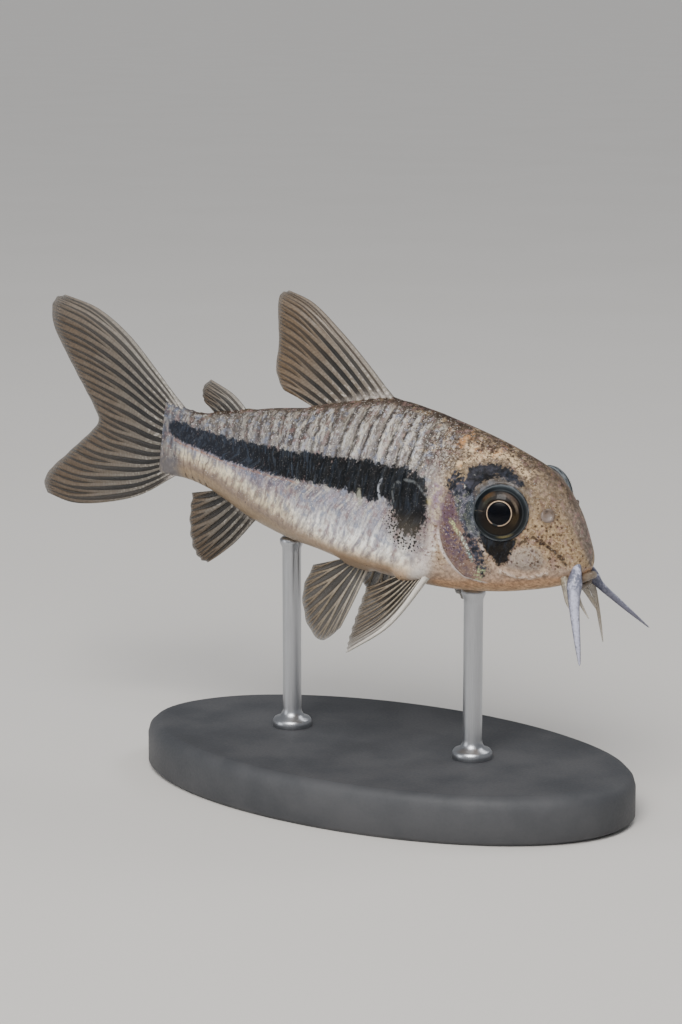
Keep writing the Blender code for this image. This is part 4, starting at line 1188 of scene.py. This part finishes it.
def build_fin(
    name, finish, root, tip, lead, rays, trail=None, wave=0.0, spine=0.2, spine_width=0.4, ray_width=0.28,
    bright=0.0, per_ray=20, rows=72,
):
    """A fin between its four edges, with a ridge for each ray, the first of them a spine. lead is what the
    front edge passes through between root and tip. trail is the same for the rear edge, which is straight
    without it. Rays fork twice on their way out, and the edge is notched between them. spine is the spine's
    rise in mm and wave the sheet's, and widths are shares of the space between rays."""
    lead, trail_edge = [root[0], *lead, tip[0]], [root[-1], *(trail or ()), tip[-1]]
    columns, spacing = per_ray * (rays - 1), 1 / (rays - 1)
    across, out = np.meshgrid(np.linspace(0, 1, columns + 1), np.linspace(0, 1, rows + 1))

    # each point's nearest ray, and how far it is from the middle of that ray or of its branches
    spot = across / spacing
    nearest = np.where(spot < max(0.5, spine_width), 0, np.maximum(1, np.rint(spot)))
    is_ray = nearest > 0
    offset = np.abs(spot - nearest)
    fork, again = is_ray * ease(out, 0.3, 0.8), is_ray * ease(out, 0.6, 1.05)
    random = np.random.default_rng(rays)
    jitter = random.uniform(0.86, 1.12, rays + 1)[nearest.astype(int)]
    half = np.where(is_ray, ray_width * (1 - 0.46 * fork - 0.22 * again), spine_width * (1 - 0.45 * out))
    half = half * jitter
    ridge = ease(half - np.abs(np.abs(offset - 0.25 * fork) - 0.125 * again), -0.035, 0.045)
    notch = 0.009 * np.sin(np.clip(offset * 2, 0, 1) * math.pi / 2) ** 2 + 0.003 * np.sin(across * 400) ** 2

    # the sheet with its waves, and how thick it is
    points = place(fin_sheet(root, tip, lead, trail_edge, across, out * (1 - notch * out**6)))
    along = np.gradient(points, axis=0)
    normal = np.cross(np.gradient(points, axis=1), along)
    normal /= np.maximum(np.linalg.norm(normal, axis=-1, keepdims=True), 1e-12)
    ripple = wave * MM * np.sin(across * 9 + out * 2.2) * out**2
    web_wave = 0.06 * MM * np.cos(offset * 2 * math.pi) * ease(out, 0.1, 0.5)
    points = points + normal * (ripple + web_wave)[..., None]
    rise = np.where(is_ray, RAY_RISE, spine * MM) * (1 - 0.65 * out)
    thick = (MEMBRANE + rise * ridge) * np.minimum(1.0, (1 - out) / 0.05 + 0.35)
    thick = thick + FLESH_RISE * (1 - ease(out, 0.0, 0.13))

    # what the material needs to know: the dark blade in each gap has its own length and depth
    first_rays = np.interp(spot, [0, 0.9, 1.6, 3.0], [1.0, 1.0, 0.5, 0.0])
    gap = np.minimum(spot, rays - 1.001).astype(int)
    shadow, reach = random.uniform(0.55, 1.0, rays)[gap], random.uniform(-0.1, 0.1, rays)[gap]
    blade = shadow * ease(out, 0.02, 0.2) * (1 - ease(out, 0.3 + reach, 0.8 + reach)) * ease(spot, 0.3, 1.6)
    if trail:
        blade = blade * ease((1 - across) / spacing, 0.3, 1.6)
    facts = {
        "ray": ridge,
        "out": out,
        "length": np.cumsum(np.linalg.norm(along, axis=-1), axis=0) / MM,
        "flesh": 1 - ease(out, 0.02, 0.13),
        "spine": first_rays * (0.35 + 0.65 * ridge) * bright * (1 - 0.4 * out),
        "blade": blade,
    }
    side = normal * thick[..., None] / 2
    both = wrapped_round(points + side, points - side)
    mesh = lattice_mesh(rows, 2 * columns + 2, both, {n: wrapped_round(v, v) for n, v in facts.items()})
    close_mesh(mesh, 1e-9, split=True)
    piece(f"{name}_rays", mesh, finish, (name,))


def wrapped_round(front, back):
    """A fin's two faces as one lattice that runs over the front, back over the rear and meets itself."""
    return np.concatenate([front, back[:, ::-1], front[:, :1]], axis=1)


def build_middle_fins():
    upright = fin_finish("fin_upright", (122, 112, 100), (104, 86, 65), (14, 13, 12), (64, 52, 40), 0.86)
    tail = fin_finish("fin_tail", (112, 107, 99), (94, 80, 65), (14, 14, 14), (48, 42, 36), 0.86)

    tip = flat([(75.6, 37.9), (77.0, 36.8), (77.0, 32.4), (76.7, 27.0), (76.3, 22.0), (73.6, 18.0)])
    lead = flat([(54.0, 26.8), (61.6, 32.1), (69.2, 36.5)])
    root = along_back(46.6, 64.3)
    build_fin("dorsal_fin", upright, root, tip, lead, 10, wave=0.25, spine=0.3, bright=0.2, ray_width=0.23)

    tip = flat([(92.0, 16.0), (93.5, 14.4), (93.6, 12.4), (92.7, 10.8)])
    lead = flat([(86.0, 14.1)])
    root = along_back(81.2, 88.6)
    build_fin("adipose_fin", tail, root, tip, lead, 6, rows=40, ray_width=0.16, bright=0.3)

    tip = flat([(87.6, -22.0), (90.2, -22.0), (92.0, -20.2), (92.9, -16.6), (93.7, -12.2), (93.9, -8.6)])
    lead = flat([(81.2, -15.7), (84.9, -19.6)])
    root = along_back(76.3, 86.2, belly=True)
    build_fin("anal_fin", tail, root, tip, lead, 8, wave=0.15, ray_width=0.22)

    start = SECTIONS[-1, 0] - 1.0
    root = flat([(start - 1.3, 8.0), (start, 4.0), (start, -1.2), (start - 1.1, -5.2)])
    tip = flat([
        (132.2, 25.5), (134.2, 24.6), (134.8, 22.4), (133.6, 18.8), (130.8, 15.2), (128.0, 11.8),
        (125.2, 8.2), (122.4, 4.6), (120.3, 1.0), (122.0, -1.9), (125.0, -5.2), (128.2, -8.8),
        (131.2, -12.2), (132.4, -15.2), (131.2, -17.6),
    ])
    lead = flat([(106.0, 14.9), (114.3, 20.7), (123.0, 24.4)])
    trail = flat([(106.5, -12.0), (115.4, -15.9), (124.0, -18.1)])
    build_fin(
        "caudal_fin", tail, root, tip, lead, 17, trail, wave=0.3, spine=0.18, bright=0.25, ray_width=0.22,
        per_ray=18, rows=84,
    )


def build_paired_fins():
    paired = fin_finish("fin_paired", (158, 148, 132), (108, 95, 78), (30, 26, 21), (50, 42, 33), 0.74)
    for side, name in ((-1, "right"), (1, "left")):
        tip = mirrored(side, [
            (37.1, 23.4, -22.9), (38.4, 21.0, -21.0), (39.8, 17.0, -17.2), (40.6, 13.4, -12.5),
        ])
        build_fin(
            f"pectoral_fin_{name}", paired, fin_feet(PECTORAL_ROOT, side > 0), tip,
            mirrored(side, [(32.4, 15.9, -17.2)]), 9, spine=0.5, spine_width=0.9, bright=1.3, ray_width=0.15,
        )
        tip = mirrored(side, [
            (46.4, 11.5, -22.9), (49.8, 13.0, -26.0), (54.1, 12.2, -23.6), (57.0, 10.4, -18.0),
            (56.5, 8.6, -12.9),
        ])
        build_fin(
            f"pelvic_fin_{name}", paired, fin_feet(PELVIC_ROOT, side > 0), tip,
            mirrored(side, [(45.9, 8.4, -17.2)]), 7, wave=0.1, ray_width=0.13, bright=0.3,
        )


# Eyes, barbels, lips and nostril flaps

# Half sections of the iris, of the nostril pad and of the stand's base, as (radius, height).
IRIS = [
    (0.0, 0.92), (0.15, 0.915), (0.30, 0.88), (0.37, 0.85), (0.405, 0.83), (0.417, 0.85), (0.43, 0.855),
    (0.445, 0.84), (0.46, 0.79), (0.55, 0.74), (0.72, 0.62), (0.85, 0.46), (0.95, 0.27), (0.985, 0.0),
    (0.9, -0.4), (0.6, -0.75), (0.0, -0.95),
]
NOSTRIL_PAD = [
    (0.0, -0.3), (0.62, -0.3), (0.6, -0.1), (0.57, -0.01), (0.5, 0.04), (0.42, 0.05), (0.3, 0.02),
    (0.15, 0.005), (0.0, 0.0),
]
BASE = [
    (0.0, 0.0), (0.485, 0.0), (0.5, 0.12), (0.5, 0.7), (0.496, 0.85), (0.486, 0.95), (0.47, 1.0), (0.0, 1.0),
]
EYE_RIM_REACH = 0.985


def spun(profile, steps=72):
    """A closed shape from a profile of (radius, height) places, turned about the Z axis."""
    bm = bmesh.new()
    verts = [bm.verts.new((radius, 0.0, height)) for radius, height in profile]
    edges = [bm.edges.new(pair) for pair in zip(verts[:-1], verts[1:])]
    bmesh.ops.spin(
        bm, geom=verts + edges, cent=(0, 0, 0), axis=(0, 0, 1), angle=2 * math.pi, steps=steps, use_merge=True
    )
    bmesh.ops.remove_doubles(bm, verts=bm.verts, dist=1e-8)
    bmesh.ops.recalc_face_normals(bm, faces=bm.faces)
    return bm


def build_eyes():
    iris, cornea = eye_finish(), cornea_finish()
    rim = flesh_finish("eye_rim", (70, 76, 82), (112, 118, 124), (34, 36, 40))
    for left, name in ((True, "left"), (False, "right")):
        pose = POSE @ eye_frame(left)
        mesh = from_bmesh(spun([(r * EYE_RADIUS, z * EYE_THICKNESS) for r, z in IRIS]))
        flat_points = np.empty(len(mesh.vertices) * 3)
        mesh.vertices.foreach_get("co", flat_points)
        x, y = flat_points[0::3], flat_points[1::3]
        keep_fact(mesh, "reach", np.hypot(x, y) / EYE_RADIUS)
        keep_fact(mesh, "turn", np.arctan2(y, -x if left else x))
        piece(f"iris_{name}", mesh, iris, (f"eye_{name}",), pose)

        dome = [(math.sin(t) * EYE_RADIUS, math.cos(t) * EYE_THICKNESS) for t in np.linspace(0, math.pi, 33)]
        piece(f"cornea_{name}", from_bmesh(spun(dome)), cornea, pose=pose)

        ring = [
            (EYE_RADIUS * EYE_RIM_REACH + math.cos(t) * 0.045 * MM, (0.1 + math.sin(t) * 0.05) * MM)
            for t in np.linspace(0, 2 * math.pi, 13)
        ]
        piece(f"eye_rim_{name}", from_bmesh(spun(ring)), rim, pose=pose)


# Each barbel: side, four places on it as (station, side, height), and its radii from root to tip in mm.
BARBELS = {
    "upper_barbel_right": (
        -1, [(1.4, 2.4, 0.6), (0.4, 4.4, -3.1), (-0.8, 5.4, -7.4), (-3.9, 6.0, -17.7)],
        (0.3, 0.4, 0.54, 0.62, 0.56, 0.48, 0.41, 0.33, 0.23, 0.08),
    ),
    "upper_barbel_left": (
        1, [(2.2, 3.4, -1.2), (0.3, 5.1, -4.4), (-1.8, 9.8, -8.2), (-6.3, 16.3, -13.9)],
        (0.3, 0.44, 0.46, 0.36, 0.31, 0.28, 0.25, 0.2, 0.13, 0.04),
    ),
    "lower_barbel_right": (
        -1, [(3.4, 3.2, -2.6), (1.9, 4.4, -4.6), (1.2, 4.8, -6.4), (0.4, 4.9, -7.8)],
        (0.3, 0.36, 0.34, 0.3, 0.24, 0.18, 0.12, 0.05),
    ),
    "lower_barbel_left": (
        1, [(3.6, 2.6, -3.2), (1.5, 4.4, -5.0), (0.4, 6.0, -9.0), (-1.4, 7.2, -16.4)],
        (0.4, 0.44, 0.36, 0.28, 0.22, 0.16, 0.12, 0.04),
    ),
    "chin_barbel_right": (
        -1, [(2.6, 1.4, -3.4), (1.1, 1.7, -5.2), (-0.2, 2.1, -7.0), (-2.6, 2.4, -9.4)],
        (0.28, 0.22, 0.17, 0.14, 0.1, 0.04),
    ),
    "chin_barbel_left": (
        1, [(2.6, 1.4, -3.4), (1.1, 1.7, -5.2), (0.1, 2.5, -7.0), (-1.3, 3.2, -9.2)],
        (0.3, 0.3, 0.24, 0.18, 0.13, 0.04),
    ),
}


def tube_mesh(curve, radii, rings, sides=20, facing=(0.5, -0.84, 0.2)):
    """A round, tapering tube along a smooth curve through the given points, in metres, with closed ends. Its
    points keep how far along it they are, and how much they face the given way, for the barbels' painted
    highlight."""
    share = np.linspace(0, 1, rings + 1)
    middle = smooth_curve(curve, share)
    ahead = np.gradient(middle, axis=0)
    ahead /= np.linalg.norm(ahead, axis=-1, keepdims=True)
    across = np.cross(ahead, (0.4, 0.9, 0.2))
    across /= np.linalg.norm(across, axis=-1, keepdims=True)
    other = np.cross(ahead, across)
    radius = smooth_curve(np.asarray(radii, float)[:, None], share)
    end = np.sqrt(np.clip(1 - ((share - 0.985) / 0.015).clip(0) ** 2, 0.0, 1))[:, None]
    turn = np.linspace(0, 2 * math.pi, sides + 1)
    circle = np.cos(turn)[None, :, None] * across[:, None] + np.sin(turn)[None, :, None] * other[:, None]
    points = middle[:, None] + circle * (radius * np.maximum(end, 0.05))[:, None]
    along = share[:, None].repeat(sides + 1, axis=1)
    mesh = lattice_mesh(rings, sides, points, {"along": along, "core": 0.5 + 0.5 * circle @ np.array(facing)})
    close_mesh(mesh)
    return mesh


def build_barbels():
    # Barbel colours: the painted highlight on the facing side, the painted shade away from it, and the root's
    # blotches.
    near = barbel_finish("barbel_skin", (206, 208, 230), (112, 112, 128), (54, 60, 80))
    thin = barbel_finish("small_barbel_skin", (176, 168, 150), (132, 118, 96), (98, 86, 70), 0.6)
    for name, (side, bends, radii) in BARBELS.items():
        finish = near if name.startswith("upper") else thin
        curve, radii = place(mirrored(side, bends)), [radius * MM for radius in radii]
        mesh = tube_mesh(curve, radii, 72, facing=(0.5, side * 0.84, 0.2))
        piece(f"{name}_skin", mesh, finish, (name,))


def build_lips():
    """Two soft rolls that run from one corner of the mouth round its front to the other."""
    finish = flesh_finish("lip_skin", (112, 94, 76), (136, 122, 106), (74, 60, 50), 0.85)
    corner, side, low = MOUTH_CORNER
    for name, front, level, radius in (("lip_upper", -0.5, -1.7, 0.32), ("lip_lower", 0.8, -4.0, 0.27)):
        bend = (corner + front) / 2 - 0.2, (low + level) / 2
        curve = place([
            (corner + 0.6, -side, low), (bend[0], -side * 0.75, bend[1]), (front, 0, level),
            (bend[0], side * 0.75, bend[1]), (corner + 0.6, side, low),
        ])
        radii = [radius * MM * k for k in (0.6, 0.9, 1.0, 1.0, 1.0, 0.9, 0.6)]
        piece(name, tube_mesh(curve, radii, 48), finish)


def build_nostrils():
    """The nose openings: low round pads, drawn up into a small flap on the side nearest the back."""
    finish = flesh_finish("nostril_flap", (110, 94, 82), (122, 108, 100), (70, 58, 52))
    for left, name in ((True, "left"), (False, "right")):
        spot, outward = skin_spot(*NOSTRIL, left)
        turn = outward.to_track_quat("Z", "Y").to_matrix().to_4x4()
        bm = spun([(radius * MM, height * MM) for radius, height in NOSTRIL_PAD], 48)
        for vert in bm.verts:
            upward = max(0.0, (vert.co.y / MM - 0.24) / 0.34)
            if vert.co.z > 0:
                vert.co.z += 0.3 * MM * upward
        pose = POSE @ Matrix.Translation(spot) @ turn
        piece(f"nostril_{name}", from_bmesh(bm), finish, pose=pose)


# Stand, floor, light and camera


def build_stand():
    """The oval base, and two rods with a foot on it and a small cup under the fish."""
    steel, slate = steel_finish(), slate_finish()
    low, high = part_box("stand_base")
    size = Vector(high) - Vector(low)
    bm = spun(BASE, 160)
    bmesh.ops.transform(bm, matrix=Matrix.Diagonal((size.x, size.y, size.z, 1)), verts=bm.verts)
    base = piece("display_base", from_bmesh(bm), slate, ("stand_base",), Matrix.Identity(4))
    for face in base.data.polygons:
        face.use_smooth = abs(face.normal.z) < 0.99
    for name in ("stand_rod_front", "stand_rod_rear"):
        low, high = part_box(name)
        middle = ((low[0] + high[0]) / 2, (low[1] + high[1]) / 2, 0)
        radius, foot, top = (high[0] - low[0]) / 2, size.z, high[2]
        # each place: radius in rod radii, then height in mm from the base's top or from the rod's
        profile = [(wide * radius, foot + up * MM) for wide, up in (
            (0.0, -0.2), (2.1, -0.2), (2.1, 0.5), (1.9, 0.75), (1.3, 0.9), (1.06, 1.3), (1.0, 1.6),
        )]
        profile += [(wide * radius, top + up * MM) for wide, up in (
            (1.0, -1.2), (1.02, -0.7), (1.25, -0.25), (1.25, 0.05), (1.0, 0.25), (0.0, 0.25),
        )]
        rod = name.replace("stand", "display")
        mesh = from_bmesh(spun(profile, 48))
        piece(rod, mesh, steel, (name,), Matrix.Translation(middle))


def build_floor():
    f = Finish("floor_paper", roughness=0.9)
    f.feed(base_color=f.mix(f.noise(40 * MM, 2), (226, 223, 218), (232, 229, 225)))
    bm = bmesh.new()
    bmesh.ops.create_grid(bm, x_segments=8, y_segments=8, size=12.0)
    floor = link("floor", from_bmesh(bm))
    floor.data.materials.append(f.material)


def way_to(azimuth, elevation):
    """The way from the fish towards a place, in degrees from its right side round to its nose, and up."""
    a, e = math.radians(azimuth), math.radians(elevation)
    return Vector((math.sin(a) * math.cos(e), -math.cos(a) * math.cos(e), math.sin(e)))


def aim(made, target, way, distance):
    """Sets a light or camera at a distance from its target, looking back at it."""
    made.location = Vector(target) + way * distance
    made.rotation_euler = way.to_track_quat("Z", "Y").to_euler()


LAMP_TARGET = (-0.005, 0, 0.025)


def area_light(name, size, power, azimuth, elevation, distance, colour=(1, 1, 1)):
    light = bpy.data.lights.new(name, "AREA")
    light.size, light.energy, light.color = size, power, colour
    aim(link(name, light), LAMP_TARGET, way_to(azimuth, elevation), distance)


def build_light():
    world = bpy.data.worlds.new("studio")
    bpy.context.scene.world = world
    world.use_nodes = True
    sky = world.node_tree.nodes["Background"]
    sky.inputs["Color"].default_value = (0.94, 0.96, 1.0, 1.0)
    sky.inputs["Strength"].default_value = 0.3
    sun = bpy.data.lights.new("even_light", "SUN")
    sun.energy, sun.angle = 1.3, math.radians(50)
    link("even_light", sun).rotation_euler = (math.radians(42), math.radians(-6), math.radians(24))
    area_light("key", 0.14, 0.75, 22, 44, 0.35, (1.0, 0.97, 0.93))
    area_light("side", 0.22, 0.3, -40, 12, 0.45, (0.96, 0.98, 1.0))
    area_light("back", 0.12, 0.2, 150, 45, 0.4)


def build_camera():
    """The camera of the photo's view."""
    lens = bpy.data.cameras.new("photo_view")
    lens.lens, lens.sensor_width, lens.clip_start, lens.clip_end = 100, 36, 0.01, 50
    camera = link("photo_view", lens)
    aim(camera, (-0.00436, 0.0, 0.02328), way_to(34, 11), 0.23871)
    bpy.context.scene.camera = camera


build_skin()
build_middle_fins()
build_paired_fins()
build_eyes()
build_barbels()
build_lips()
build_nostrils()
build_stand()
build_floor()
build_light()
build_camera()
